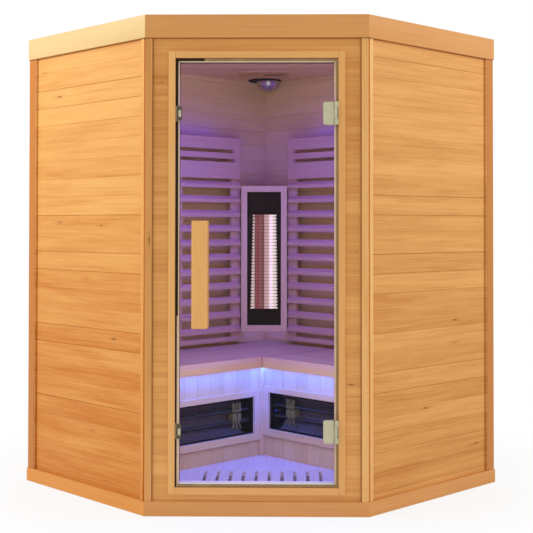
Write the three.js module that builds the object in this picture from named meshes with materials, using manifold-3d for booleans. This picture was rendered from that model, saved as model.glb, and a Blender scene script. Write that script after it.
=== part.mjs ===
// Corner infrared sauna cabin, in millimetres, +Z up, with the glass door facing -Y.
// The plan is a square with one corner cut off: two rear walls, two side walls and a narrow front.
// The origin is on the floor, at the middle of the whole object's box.

import * as THREE from 'three';
import { mergeVertices } from 'three/addons/utils/BufferGeometryUtils.js';
import Module from 'manifold-3d';

const wasm = await Module();
wasm.setup();

// Overall size
const CABIN_HEIGHT = 1900;
const REAR_SIDE = 1424; // length of each rear side, over the fascia
const FRONT_WIDTH = 852; // width of the cut-off front, over the fascia

// Fits and joins
const FIT_GAP = 0.3; // clearance between pieces that seat on each other
const OVERLAP = 1; // how far two bodies reach into each other before they are joined
const ROUND_SIDES = 16; // sides of a small round body

// Walls
const OVERHANG = 12; // the fascia and the plinth stand this far proud of the cladding
const PANEL_THICK = 33; // outer cladding with its frame
const SKIN_THICK = 12; // outer cladding alone
const LINING_THICK = 12; // inner boards
const STUD_WIDTH = 60; // stiles and rails of a wall frame
const BAY_ROWS = 2; // hollow bays between the rails
const BOARD_PITCH = 75.8; // tongue and groove boards
const FIRST_BOARD = 22; // the lowest wall board is cut down to this height
const GROOVE_WIDTH = 4;
const GROOVE_DEPTH = 2;
const TRIM_THICK = 8; // corner trims, proud of the cladding
const FRONT_TRIM_WIDTH = 26;
const NEAR_TRIM_WIDTH = 22;
const FAR_TRIM_WIDTH = 43;
const CORNER_SHADOW = 5; // open corner between the front trims and the side trims
const SHADOW_GAP = 6; // groove beside the far trims
const SHADOW_DEPTH = 8;

// Base and floor
const PLINTH_HEIGHT = 55;
const PLINTH_THICK = 30;
const FLOOR_CLEARANCE = 10; // air under the floor panel
const FLOOR_LEVEL = 62; // walking surface
const GRILLE_WIDTH = 554;
const GRILLE_DEPTH = 460;
const GRILLE_THICK = 14;
const GRILLE_MARGIN = 30; // solid border at the front and rear of the slots
const SLOT_COUNT = 10;
const SLOT_PITCH = 53;
const SLOT_WIDTH = 13;
const SLOT_SHIFT = 15; // the row of slots sits right of the middle
const BATTEN_WIDTH = 34; // the two cross battens under the grille
const BATTEN_HEIGHT = 16;
const FLOOR_HEATER_THICK = 3;
const FLOOR_HEATER_MARGIN = 17;

// Roof
const FASCIA_HEIGHT = 88;
const CEILING_RISE = 16; // ceiling underside above the fascia's lower edge
const CEILING_THICK = 20;
const COVER_THICK = 8;
const COVER_RECESS = 10; // roof cover below the fascia's upper edge
const COVER_LEDGE = 28; // batten that carries the roof cover
const POWER_BOX_WIDTH = 300;
const POWER_BOX_DEPTH = 180;
const POWER_BOX_HEAD_GAP = 2;
const POWER_BOX_FROM_FRONT = 720;
const GLAND_RADIUS = 9;
const GLAND_FLANGE_RADIUS = 15;
const GLAND_FLANGE_THICK = 3;
const GLAND_RISE = 8;
const GLAND_NUT_DROP = 7;
const GLAND_BORE_RADIUS = 5;
const GLAND_FROM_CORNER = 260;

// Ceiling vent and lamp, placed from the inner rear corner
const VENT_LENGTH = 240; // along X
const VENT_DEPTH = 210;
const VENT_THICK = 12;
const VENT_FROM_CORNER = 420; // to the middle of the frame
const VENT_CHANNEL_DEPTH = 130;
const VENT_CHANNEL_HEIGHT = 9;
const VENT_RIM = 12;
const VENT_WINDOW_LENGTH = 208;
const VENT_WINDOW_DEPTH = 100;
const VENT_SLIDE_LENGTH = 110;
const VENT_HOLE_LENGTH = 90;
const VENT_HOLE_DEPTH = 80;
const VENT_GRIP_LENGTH = 14;
const VENT_GRIP_DEPTH = 90;
const VENT_GRIP_HEIGHT = 12;
const VENT_GRIP_INSET = 3; // from the right end of the slide
const VENT_RUNNING_GAP = 0.6;
const LAMP_FROM_CORNER = 134;
const LAMP_FLANGE_RADIUS = 83;
const LAMP_FLANGE_THICK = 6;
const LAMP_DOME_RADIUS = 60;
const LAMP_DOME_DROP = 51;
const LAMP_DOME_SHIFT = 19; // the dome hangs to the right of its flange's middle
const LAMP_SIDES = 28;
const LAMP_RINGS = 7;

// Door frame and door
const FRONT_STRIP = 59; // front cladding between a corner trim and the door frame
const HEAD_BAND = 51; // front cladding above the door frame
const SILL_BAND = 26; // front cladding below the door frame
const CASING_WIDTH = 26;
const STOP_LAP = 4; // how far the stop reaches behind the glass
const SEAL_GAP = 5.5; // between the glass and the stop
const DOOR_GAP = 11; // between the glass and the door frame
const GLASS_SETBACK = 6; // behind the face of the door frame
const GLASS_THICK = 8;
const GLASS_CORNER_RADIUS = 5;
const HANDLE_WIDTH = 60;
const HANDLE_HEIGHT = 407;
const HANDLE_THICK = 20;
const HANDLE_STANDOFF = 20;
const HANDLE_BOTTOM = 708.5;
const HANDLE_FROM_EDGE = 54.5;
const HANDLE_POST_RADIUS = 9;
const HANDLE_POST_INSET = 60;
const HANDLE_BOLT_RADIUS = 4;
const HANDLE_HOLE_RADIUS = 5.5;

// Door hinges and catches
const HARDWARE_INSET = 200; // from the ends of the glass to the middle of a hinge or catch
const CLAMP_WIDTH = 47;
const CLAMP_HEIGHT = 87;
const CLAMP_THICK = 3.7;
const KNUCKLE_RADIUS = 7;
const KNUCKLE_MIDDLE = 40; // length of the door's knuckle
const KNUCKLE_GAP = 0.8;
const LEAF_THICK = 1.7;
const LEAF_FRONT = 6; // how far the leaf stands in front of the hinge axis
const PIN_RADIUS = 3;
const PIN_RUNNING_GAP = 0.3;
const PIN_HEAD_RADIUS = 4.6;
const PIN_HEAD_HEIGHT = 2.4;
const CATCH_HEIGHT = 55;
const CATCH_THICK = 4.5;
const CATCH_DEPTH = 11;
const CATCH_AIR_GAP = 1.5;
const STRIKE_WIDTH = 14;
const STRIKE_THICK = 2.2;

// Benches
const SEAT_LEVEL = 510;
const SEAT_DEPTH = 520;
const SEAT_THICK = 22;
const SEAT_BOARD_PITCH = 100;
const SEAT_EDGE_HEIGHT = 48;
const SEAT_EDGE_THICK = 20;
const BENCH_INSET = 45; // bench front behind the seat edge
const BENCH_FRONT_THICK = 16;
const CORNER_POST = 22;
const LEDGER_SIZE = 25; // battens on the walls that carry the seats
const LEDGER_END = 60; // ledgers stop this far from the rear corner
const LED_WIDTH = 12;
const LED_HEIGHT = 9;
const LED_SETBACK = 5;
const LED_END_MARGIN = 200; // from the side walls

// Backrests
const BACKREST_LENGTH = 425;
const BACKREST_DEPTH = 78;
const SLAT_THICK = 20;
const SLAT_COUNT = 11;
const SLAT_PITCH = 70.6;
const SLAT_HEIGHT = 32;
const SLAT_SLOPE = 15; // slope along the top of a slat's face
const FIRST_SLAT_RISE = 64; // first slat's underside above the seat
const FOOT_RAIL_RISE = 20;
const FOOT_RAIL_HEIGHT = 22;
const TOP_BOARD_GAP = 14; // top board above the highest slat
const TOP_BOARD_HEIGHT = 200;
const TOP_SLOT_COUNT = 2;
const TOP_SLOT_HEIGHT = 17;
const TOP_SLOT_PITCH = 45;
const TOP_SLOT_DROP = 66; // upper slot's middle below the top
const TOP_SLOT_INSET = 40;
const STILE_THICK = 14;
const STILE_LAP = 60; // up the back of the top board
const INNER_STILE_WIDTH = 56;
const INNER_STILE_REACH = 12; // past the slats' ends at the corner heater
const OUTER_STILE_WIDTH = 40;
const OUTER_STILE_INSET = 28; // from the slats' other ends
const SPACER_HEIGHT = 18;
const SPACED_SLATS = [0, 5, 10]; // slats with a spacer block between each stile and the wall

// Corner heater
const CORNER_FRAME_WIDTH = 227;
const CORNER_FRAME_HEIGHT = 719;
const CORNER_FRAME_RISE = 64; // above the seat
const CORNER_FRAME_THICK = 18;
const CORNER_BORDER = 30;
const CORNER_SIDE_GAP = 1.8; // between the frame and the backrests
const CHEEK_THICK = 18; // side boards that reach back to the rear walls
const TRAY_WALL = 2;
const CORNER_TRAY_DEPTH = 68;
const TRAY_SETBACK = 3; // tray rim behind the frame's face
const GUARD_THICK = 2;
const GUARD_SETBACK = 2; // guard behind the tray's rim
const CORNER_MESH_WIDTH = 134;
const CORNER_MESH_HEIGHT = 475;
const CORNER_MESH_RISE = 77; // above the window's lower edge
const CORNER_MESH_PITCH = 15.8;
const MESH_BAR = 4.8;
const TUBE_RADIUS = 8;
const CORNER_TUBE_SPACING = 66;
const CORNER_TUBE_MARGIN = 60; // tube ends from the window's ends
const HOLDER_SIZE = 24;
const HOLDER_HEIGHT = 20;

// Bench heaters
const BENCH_FRAME_BOTTOM = 71; // above the floor
const BENCH_FRAME_HEIGHT = 223;
const BENCH_FRAME_START = 1.5; // from the corner post
const BENCH_FRAME_END_MARGIN = 210; // from the side wall
const BENCH_FRAME_THICK = 14;
const BENCH_BORDER = 32;
const BENCH_TOP_BORDER = 27;
const RIGHT_HEATER_RISE = 20; // the right bench's heater sits higher than the left one's
const BENCH_TRAY_DEPTH = 60;
const BENCH_MESH_MARGIN = 8;
const BENCH_MESH_PITCH = 24;
const BENCH_TUBE_SPACING = 50;
const BENCH_HOLDER_INSET = 90;
const BENCH_HOLDER_WIDTH = 26;
const BENCH_HOLDER_TALL = 110;

// Control panel, inside on the right side wall
const PANEL_WIDTH = 110;
const PANEL_HEIGHT = 170;
const PANEL_BODY_THICK = 14;
const PANEL_BOTTOM = 1150;
const PANEL_FROM_DOOR = 160;
const DISPLAY_MARGIN = 12;
const DISPLAY_DEPTH = 1.5;

// Levels and plan places worked out from the sizes above
const WALL_THICK = PANEL_THICK + LINING_THICK;
const INNER_INSET = OVERHANG + WALL_THICK;
const FASCIA_BOTTOM = CABIN_HEIGHT - FASCIA_HEIGHT;
const CEILING_LEVEL = FASCIA_BOTTOM + CEILING_RISE;
const CEILING_TOP = CEILING_LEVEL + CEILING_THICK;
const COVER_TOP = CABIN_HEIGHT - COVER_RECESS;
const COVER_BOTTOM = COVER_TOP - COVER_THICK;
const WALL_BOTTOM = PLINTH_HEIGHT + FIT_GAP;
const WALL_TOP = CEILING_LEVEL - FIT_GAP;

const CLADDING_Y = OVERHANG;
const CASING_Y = CLADDING_Y - TRIM_THICK;
const INNER_FRONT_Y = INNER_INSET;
const GLASS_FRONT = CASING_Y + GLASS_SETBACK;
const GLASS_BACK = GLASS_FRONT + GLASS_THICK;
const STOP_Y = GLASS_BACK + SEAL_GAP;
const HANDLE_FRONT = GLASS_FRONT - HANDLE_STANDOFF - HANDLE_THICK;

const [, FRONT_RIGHT] = outline(OVERHANG);
const OPENING_HALF = FRONT_RIGHT[0] - FRONT_TRIM_WIDTH - FRONT_STRIP;
const OPENING_BOTTOM = PLINTH_HEIGHT + SILL_BAND;
const OPENING_TOP = FASCIA_BOTTOM - HEAD_BAND;
const REVEAL_HALF = OPENING_HALF - CASING_WIDTH;
const REVEAL_BOTTOM = OPENING_BOTTOM + CASING_WIDTH;
const REVEAL_TOP = OPENING_TOP - CASING_WIDTH;
const GLASS_HALF = REVEAL_HALF - DOOR_GAP;
const GLASS_BOTTOM = REVEAL_BOTTOM + DOOR_GAP;
const GLASS_TOP = REVEAL_TOP - DOOR_GAP;
const STOP_HALF = GLASS_HALF - STOP_LAP;
const STOP_BOTTOM = GLASS_BOTTOM + STOP_LAP;
const STOP_TOP = GLASS_TOP - STOP_LAP;
const HINGE_X = REVEAL_HALF - FIT_GAP - LEAF_THICK - FIT_GAP - KNUCKLE_RADIUS;
const HINGE_Y = GLASS_FRONT - FIT_GAP - KNUCKLE_RADIUS;
const HARDWARE_LEVELS = {
  upper: GLASS_TOP - HARDWARE_INSET,
  lower: GLASS_BOTTOM + HARDWARE_INSET,
};

const [, , , INNER_CORNER, INNER_LEFT] = outline(INNER_INSET);
const INNER_SIDE = Math.hypot(INNER_CORNER[0] - INNER_LEFT[0], INNER_CORNER[1] - INNER_LEFT[1]);
const [, , , [, REAR_CORNER_Y]] = outline(0);
const SEAT_BOTTOM = SEAT_LEVEL - SEAT_THICK;
const BENCH_PLANE = SEAT_DEPTH - BENCH_INSET;
const CORNER_HALF = CORNER_FRAME_WIDTH / 2;
const BACKREST_START = BACKREST_DEPTH + (CORNER_HALF + CORNER_SIDE_GAP) * Math.SQRT2;
const CORNER_FRAME_Y = INNER_CORNER[1] - (BACKREST_START + BACKREST_DEPTH) / Math.SQRT2;
const CORNER_FRAME_BOTTOM = SEAT_LEVEL + CORNER_FRAME_RISE;

// Finishes
function finish(color, roughness, metalness = 0) {
  return new THREE.MeshStandardMaterial({ color, roughness, metalness });
}

const cladding = finish('#d9a262', 0.55);
const trimWood = finish('#dcb072', 0.55);
const lining = finish('#c89f7c', 0.6);
const benchWood = finish('#cda982', 0.6);
const steel = finish('#b3ae98', 0.35, 0.9);
const chrome = finish('#c9c9d2', 0.15, 1);
const blackSteel = finish('#1d1a1c', 0.5, 0.6);
const blackPlastic = finish('#232326', 0.5);
const quartz = finish('#e8b7ae', 0.25);
const ledWhite = finish('#cfe0ff', 0.4);
const carbon = finish('#202022', 0.7);
const clearGlass = new THREE.MeshStandardMaterial({
  color: '#dfe9e6',
  roughness: 0.05,
  transparent: true,
  opacity: 0.25,
});

// Plan outline of the cabin, drawn in from the fascia by an inset, front left corner first.
// The front lies along y = inset, and y grows towards the rear corner.
function outline(inset) {
  const side = REAR_SIDE / Math.SQRT2;
  const front = FRONT_WIDTH / 2 - inset * Math.tan(Math.PI / 8);
  const wide = side - inset * Math.SQRT2;
  const shoulder = side - FRONT_WIDTH / 2;
  const rear = 2 * side - FRONT_WIDTH / 2 - inset * Math.SQRT2;
  return [[-front, inset], [front, inset], [wide, shoulder], [0, rear], [-wide, shoulder]];
}

// Geometry helpers
function polygon(points, holes = []) {
  const shape = new THREE.Shape(points.map(([x, y]) => new THREE.Vector2(x, y)));
  shape.holes = holes.map((hole) => new THREE.Path(hole.map(([x, y]) => new THREE.Vector2(x, y))));
  return shape;
}

function box(x0, x1, y0, y1, z0, z1) {
  const geometry = new THREE.BoxGeometry(x1 - x0, y1 - y0, z1 - z0);
  return geometry.translate((x0 + x1) / 2, (y0 + y1) / 2, (z0 + z1) / 2);
}

function rectangle(x0, x1, y0, y1) {
  return [[x0, y0], [x1, y0], [x1, y1], [x0, y1]];
}

// A plan shape raised from z0 to z1
function prism(points, z0, z1, holes = []) {
  const options = { depth: z1 - z0, bevelEnabled: false };
  return new THREE.ExtrudeGeometry(polygon(points, holes), options).translate(0, 0, z0);
}

// A shape drawn in x and z, as thick as y0 to y1
function upright(shape, y0, y1) {
  const options = { depth: y1 - y0, bevelEnabled: false, curveSegments: 3 };
  return new THREE.ExtrudeGeometry(shape, options).rotateX(Math.PI / 2).translate(0, y1, 0);
}

function post(x, y, radius, z0, z1, sides = ROUND_SIDES) {
  const geometry = new THREE.CylinderGeometry(radius, radius, z1 - z0, sides);
  return geometry.rotateX(Math.PI / 2).translate(x, y, (z0 + z1) / 2);
}

function rodAlongY(x, z, radius, y0, y1, sides = ROUND_SIDES) {
  return new THREE.CylinderGeometry(radius, radius, y1 - y0, sides).translate(x, (y0 + y1) / 2, z);
}

function rodAlongX(y, z, radius, x0, x1, sides = ROUND_SIDES) {
  const geometry = new THREE.CylinderGeometry(radius, radius, x1 - x0, sides);
  return geometry.rotateZ(Math.PI / 2).translate((x0 + x1) / 2, y, z);
}

function roundHole(x, y, radius, sides = ROUND_SIDES) {
  const turn = (2 * Math.PI) / sides;
  const corner = (i) => [x + radius * Math.cos(i * turn), y + radius * Math.sin(i * turn)];
  return Array.from({ length: sides }, (_, i) => corner(i));
}

function toSolid(geometry) {
  const bare = geometry.clone();
  bare.deleteAttribute('normal');
  bare.deleteAttribute('uv');
  const welded = mergeVertices(bare);
  const vertProperties = new Float32Array(welded.attributes.position.array);
  const triVerts = new Uint32Array(welded.index.array);
  return new wasm.Manifold(new wasm.Mesh({ numProp: 3, vertProperties, triVerts }));
}

function toGeometry(solid) {
  const { vertProperties, triVerts } = solid.getMesh();
  const geometry = new THREE.BufferGeometry();
  geometry.setAttribute('position', new THREE.BufferAttribute(vertProperties, 3));
  geometry.setIndex(new THREE.BufferAttribute(triVerts, 1));
  return geometry;
}

function join(first, ...others) {
  return toGeometry(others.reduce((sum, other) => sum.add(toSolid(other)), toSolid(first)));
}

function cut(first, ...tools) {
  return toGeometry(tools.reduce((rest, tool) => rest.subtract(toSolid(tool)), toSolid(first)));
}

function meet(first, second) {
  return toGeometry(toSolid(first).intersect(toSolid(second)));
}

function addPiece(parent, name, geometry, material) {
  const flat = geometry.index ? geometry.toNonIndexed() : geometry;
  flat.computeVertexNormals();
  const mesh = new THREE.Mesh(flat, material);
  mesh.name = name;
  parent.add(mesh);
}

// Points up one boarded face, with a V groove at each board joint
function boardedEdge(face, groove, bottom, top, pitch = BOARD_PITCH, firstBoard = pitch) {
  const points = [[face, bottom]];
  for (let joint = bottom + firstBoard; joint < top - GROOVE_WIDTH; joint += pitch) {
    points.push([face, joint - GROOVE_WIDTH / 2], [face + groove, joint], [face, joint + GROOVE_WIDTH / 2]);
  }
  points.push([face, top]);
  return points;
}

// A section of [depth into the wall, height], run along a wall, with mitred or square ends
function wallRun(section, from, to, fromSlope = 0, toSlope = 0) {
  const geometry = new THREE.ExtrudeGeometry(polygon(section), { depth: 1, bevelEnabled: false });
  const position = geometry.attributes.position;
  for (let i = 0; i < position.count; i += 1) {
    const depth = position.getX(i);
    const height = position.getY(i);
    const far = position.getZ(i) > 0.5;
    const along = far ? to - depth * toSlope : from + depth * fromSlope;
    position.setXYZ(i, along, depth, height);
  }
  return geometry;
}

const cabin = new THREE.Group();
cabin.name = 'infrared_sauna_cabin';

// Everything below is placed from the front of the fascia, y = 0
const plan = new THREE.Group();
plan.position.y = -(HANDLE_FRONT + REAR_CORNER_Y) / 2;
cabin.add(plan);

// The bench corner: x runs along the rear left wall and y along the rear right wall, from the inner corner
const corner = new THREE.Group();
corner.position.set(INNER_CORNER[0], INNER_CORNER[1], 0);
corner.rotation.z = (-3 * Math.PI) / 4;
plan.add(corner);

// Walls, in turn round the plan. Each has its own group: x along the wall, y into the cabin.
const SQUARE_MITRE = 1;
const BLUNT_MITRE = Math.tan(Math.PI / 8);

const WALL_ENDS = {
  front: { mitre: BLUNT_MITRE, trim: FRONT_TRIM_WIDTH, setback: 0, groove: 0 },
  near: { mitre: BLUNT_MITRE, trim: NEAR_TRIM_WIDTH, setback: CORNER_SHADOW, groove: 0 },
  far: { mitre: SQUARE_MITRE, trim: FAR_TRIM_WIDTH, setback: 0, groove: SHADOW_GAP },
};

// Each wall runs from its own corner of the outline to the next one
const WALLS = {
  front: { ends: [WALL_ENDS.front, WALL_ENDS.front] },
  right: { ends: [WALL_ENDS.near, WALL_ENDS.far] },
  rear_right: { ends: [WALL_ENDS.far, WALL_ENDS.far] },
  rear_left: { ends: [WALL_ENDS.far, WALL_ENDS.far] },
  left: { ends: [WALL_ENDS.far, WALL_ENDS.near] },
};

for (const [i, wall] of Object.values(WALLS).entries()) {
  const corners = outline(OVERHANG);
  const [fromX, fromY] = corners[i];
  const [toX, toY] = corners[(i + 1) % corners.length];
  wall.length = Math.hypot(toX - fromX, toY - fromY);
  wall.group = new THREE.Group();
  wall.group.position.set(fromX, fromY, 0);
  wall.group.rotation.z = Math.atan2(toY - fromY, toX - fromX);
  plan.add(wall.group);
}

// A section run from one mitred corner of a wall to the other
function mitredRun(section, { length, ends: [first, last] }) {
  return wallRun(section, FIT_GAP, length - FIT_GAP, first.mitre, last.mitre);
}

// Corner trims: mitred at the corner, or set back from it with a square end
function wallTrims({ length, ends: [first, last] }) {
  const section = rectangle(-TRIM_THICK, GROOVE_DEPTH + OVERLAP, WALL_BOTTOM, FASCIA_BOTTOM - FIT_GAP);
  const start = first.setback || FIT_GAP;
  const end = last.setback || FIT_GAP;
  return [
    wallRun(section, start, first.trim, first.setback ? 0 : first.mitre, 0),
    wallRun(section, length - last.trim, length - end, 0, last.setback ? 0 : last.mitre),
  ];
}

// Dark grooves between the far trims and the boards
function shadowGrooves({ length, ends: [first, last] }) {
  const groove = (start, width) =>
    box(start, start + width, -OVERLAP, SHADOW_DEPTH, WALL_BOTTOM - OVERLAP, WALL_TOP + OVERLAP);
  const grooves = [];
  if (first.groove) grooves.push(groove(first.trim, first.groove));
  if (last.groove) grooves.push(groove(length - last.trim - last.groove, last.groove));
  return grooves;
}

// Hollow bays between the stiles and rails of a wall frame, open towards the lining
function wallBays({ length }) {
  const end = STUD_WIDTH + PANEL_THICK;
  const clear = (WALL_TOP - WALL_BOTTOM - (BAY_ROWS + 1) * STUD_WIDTH) / BAY_ROWS;
  return Array.from({ length: BAY_ROWS }, (_, row) => {
    const bottom = WALL_BOTTOM + STUD_WIDTH + row * (clear + STUD_WIDTH);
    return box(end, length - end, SKIN_THICK, PANEL_THICK + OVERLAP, bottom, bottom + clear);
  });
}

function wallPanel(wall) {
  const section = [
    ...boardedEdge(0, GROOVE_DEPTH, WALL_BOTTOM, WALL_TOP, BOARD_PITCH, FIRST_BOARD),
    [PANEL_THICK - FIT_GAP, WALL_TOP],
    [PANEL_THICK - FIT_GAP, WALL_BOTTOM],
  ];
  return cut(join(mitredRun(section, wall), ...wallTrims(wall)), ...shadowGrooves(wall), ...wallBays(wall));
}

function wallLining(wall) {
  const section = [
    ...boardedEdge(WALL_THICK, -GROOVE_DEPTH, FLOOR_LEVEL + FIT_GAP, WALL_TOP),
    [PANEL_THICK, WALL_TOP],
    [PANEL_THICK, FLOOR_LEVEL + FIT_GAP],
  ];
  return mitredRun(section, wall);
}

// A rear lining carries a ledger under the seat; the ledger stops short of both corners
function rearLining(wall) {
  const start = WALL_THICK + LEDGER_END;
  const root = WALL_THICK - GROOVE_DEPTH - OVERLAP;
  const face = WALL_THICK + LEDGER_SIZE;
  const top = SEAT_BOTTOM - FIT_GAP;
  const ledger = box(start, wall.length - start, root, face, top - LEDGER_SIZE, top);
  return join(wallLining(wall), ledger);
}

// The front is one plain panel with the opening for the door frame
function frontWall(wall) {
  const panel = mitredRun(rectangle(0, WALL_THICK, WALL_BOTTOM, WALL_TOP), wall);
  const middle = wall.length / 2;
  const half = OPENING_HALF + FIT_GAP;
  const opening = box(middle - half, middle + half, -TRIM_THICK - OVERLAP, WALL_THICK + OVERLAP,
    OPENING_BOTTOM - FIT_GAP, OPENING_TOP + FIT_GAP);
  return cut(join(panel, ...wallTrims(wall)), opening);
}

addPiece(WALLS.front.group, 'front_wall_panel', frontWall(WALLS.front), cladding);
for (const name of ['left', 'right', 'rear_left', 'rear_right']) {
  const wall = WALLS[name];
  const inner = name.startsWith('rear') ? rearLining(wall) : wallLining(wall);
  addPiece(wall.group, `${name}_wall_panel`, wallPanel(wall), cladding);
  addPiece(wall.group, `${name}_wall_lining`, inner, lining);
}

// Base: plinth ring, floor panel with its recess, floor heater and slotted grille
const GRILLE_HALF = GRILLE_WIDTH / 2;
const GRILLE_FRONT = INNER_FRONT_Y + FIT_GAP;
const GRILLE_REAR = GRILLE_FRONT + GRILLE_DEPTH;
const RECESS_BOTTOM = FLOOR_LEVEL - GRILLE_THICK - BATTEN_HEIGHT - FIT_GAP;

function floorPanel() {
  const slab = prism(outline(PLINTH_THICK + FIT_GAP), FLOOR_CLEARANCE, PLINTH_HEIGHT);
  const deck = prism(outline(INNER_INSET + FIT_GAP), PLINTH_HEIGHT - OVERLAP, FLOOR_LEVEL);
  const half = GRILLE_HALF + FIT_GAP;
  const front = GRILLE_FRONT - FIT_GAP;
  const recess = box(-half, half, front, GRILLE_REAR + FIT_GAP, RECESS_BOTTOM, FLOOR_LEVEL + OVERLAP);
  return cut(join(slab, deck), recess);
}

function floorGrille() {
  const front = GRILLE_FRONT + FIT_GAP;
  const under = FLOOR_LEVEL - GRILLE_THICK;
  const slots = Array.from({ length: SLOT_COUNT }, (_, i) => {
    const x = SLOT_SHIFT + (i - (SLOT_COUNT - 1) / 2) * SLOT_PITCH;
    const half = SLOT_WIDTH / 2;
    return box(x - half, x + half, front + GRILLE_MARGIN, GRILLE_REAR - GRILLE_MARGIN, under - OVERLAP,
      FLOOR_LEVEL + OVERLAP);
  });
  const boards = cut(box(-GRILLE_HALF, GRILLE_HALF, front, GRILLE_REAR, under, FLOOR_LEVEL), ...slots);
  const battens = [front, GRILLE_REAR - GRILLE_MARGIN - BATTEN_WIDTH / 2].map((y) =>
    box(-GRILLE_HALF, GRILLE_HALF, y, y + BATTEN_WIDTH, under - BATTEN_HEIGHT, under));
  return join(boards, ...battens);
}

function floorHeater() {
  const half = GRILLE_HALF - FLOOR_HEATER_MARGIN;
  const front = GRILLE_FRONT + BATTEN_WIDTH + FLOOR_HEATER_MARGIN;
  const rear = GRILLE_REAR - GRILLE_MARGIN - BATTEN_WIDTH / 2 - FLOOR_HEATER_MARGIN;
  const bottom = RECESS_BOTTOM + FIT_GAP;
  return box(-half, half, front, rear, bottom, bottom + FLOOR_HEATER_THICK);
}

addPiece(plan, 'plinth', prism(outline(0), 0, PLINTH_HEIGHT, [outline(PLINTH_THICK)]), trimWood);
addPiece(plan, 'floor_panel', floorPanel(), benchWood);
addPiece(plan, 'floor_heater', floorHeater(), carbon);
addPiece(plan, 'floor_grille', floorGrille(), benchWood);

// Roof: fascia ring with its ledge, boarded ceiling, cover, power box and cable gland
const VENT_Y = INNER_CORNER[1] - VENT_FROM_CORNER;
const LAMP_Y = INNER_CORNER[1] - LAMP_FROM_CORNER;
const GLAND_Y = INNER_CORNER[1] - GLAND_FROM_CORNER;
const VENT_SLIDE_LEFT = -VENT_LENGTH / 2 + VENT_RIM + VENT_RUNNING_GAP;
const VENT_HOLE_X = VENT_SLIDE_LEFT + VENT_SLIDE_LENGTH / 2;
const VENT_HOLE = rectangle(VENT_HOLE_X - VENT_HOLE_LENGTH / 2, VENT_HOLE_X + VENT_HOLE_LENGTH / 2,
  VENT_Y - VENT_HOLE_DEPTH / 2, VENT_Y + VENT_HOLE_DEPTH / 2);

function roofFascia() {
  const band = prism(outline(0), FASCIA_BOTTOM, CABIN_HEIGHT, [outline(OVERHANG - FIT_GAP)]);
  const ledge = prism(outline(OVERHANG - FIT_GAP - OVERLAP), CEILING_TOP + FIT_GAP, COVER_BOTTOM - FIT_GAP,
    [outline(OVERHANG + COVER_LEDGE)]);
  return join(band, ledge);
}

// Ceiling boards run from side to side, grooved underneath
function ceilingPanel() {
  const half = REAR_SIDE / Math.SQRT2;
  const front = OVERHANG;
  const grooved = boardedEdge(CEILING_LEVEL, GROOVE_DEPTH, front, REAR_CORNER_Y);
  const section = grooved.map(([z, y]) => [y, z]);
  const slab = wallRun([...section, [REAR_CORNER_Y, CEILING_TOP], [front, CEILING_TOP]], -half, half);
  const plan = outline(OVERHANG + FIT_GAP);
  return meet(slab, prism(plan, CEILING_LEVEL - OVERLAP, CEILING_TOP + OVERLAP, [VENT_HOLE]));
}

function roofCover() {
  const holes = [VENT_HOLE, roundHole(0, GLAND_Y, GLAND_RADIUS + FIT_GAP)];
  return prism(outline(OVERHANG + FIT_GAP), COVER_BOTTOM, COVER_TOP, holes);
}

function powerBox() {
  const half = POWER_BOX_WIDTH / 2;
  const front = POWER_BOX_FROM_FRONT;
  const bottom = CEILING_TOP + FIT_GAP;
  return box(-half, half, front, front + POWER_BOX_DEPTH, bottom, COVER_BOTTOM - POWER_BOX_HEAD_GAP);
}

// A ring turned about the vertical: [radius, height] points that close on themselves
function cableGland() {
  const flange = COVER_TOP + FIT_GAP;
  const profile = [
    [GLAND_BORE_RADIUS, COVER_BOTTOM - GLAND_NUT_DROP],
    [GLAND_RADIUS, COVER_BOTTOM - GLAND_NUT_DROP],
    [GLAND_RADIUS, flange],
    [GLAND_FLANGE_RADIUS, flange],
    [GLAND_FLANGE_RADIUS, flange + GLAND_FLANGE_THICK],
    [GLAND_RADIUS, COVER_TOP + GLAND_RISE],
    [GLAND_BORE_RADIUS, COVER_TOP + GLAND_RISE],
    [GLAND_BORE_RADIUS, COVER_BOTTOM - GLAND_NUT_DROP],
  ];
  return turned(profile, ROUND_SIDES).translate(0, GLAND_Y, 0);
}

function turned(profile, sides) {
  const points = profile.map(([radius, height]) => new THREE.Vector2(radius, height));
  return new THREE.LatheGeometry(points, sides).rotateX(Math.PI / 2);
}

addPiece(plan, 'roof_fascia', roofFascia(), trimWood);
addPiece(plan, 'ceiling_panel', ceilingPanel(), lining);
addPiece(plan, 'roof_cover', roofCover(), lining);
addPiece(plan, 'power_box', powerBox(), blackPlastic);
addPiece(plan, 'cable_gland', cableGland(), blackPlastic);

// Ceiling vent: a framed channel, and a board that slides along X in it to open the hole above
function ventFrame() {
  const half = VENT_LENGTH / 2;
  const top = CEILING_LEVEL - FIT_GAP;
  const frame = box(-half, half, VENT_Y - VENT_DEPTH / 2, VENT_Y + VENT_DEPTH / 2, top - VENT_THICK, top);
  const halfChannel = half - VENT_RIM;
  const channel = box(-halfChannel, halfChannel, VENT_Y - VENT_CHANNEL_DEPTH / 2,
    VENT_Y + VENT_CHANNEL_DEPTH / 2, top - VENT_CHANNEL_HEIGHT, top + OVERLAP);
  const halfWindow = VENT_WINDOW_LENGTH / 2;
  const window = box(-halfWindow, halfWindow, VENT_Y - VENT_WINDOW_DEPTH / 2,
    VENT_Y + VENT_WINDOW_DEPTH / 2, top - VENT_THICK - OVERLAP, top);
  return cut(frame, channel, window);
}

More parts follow.
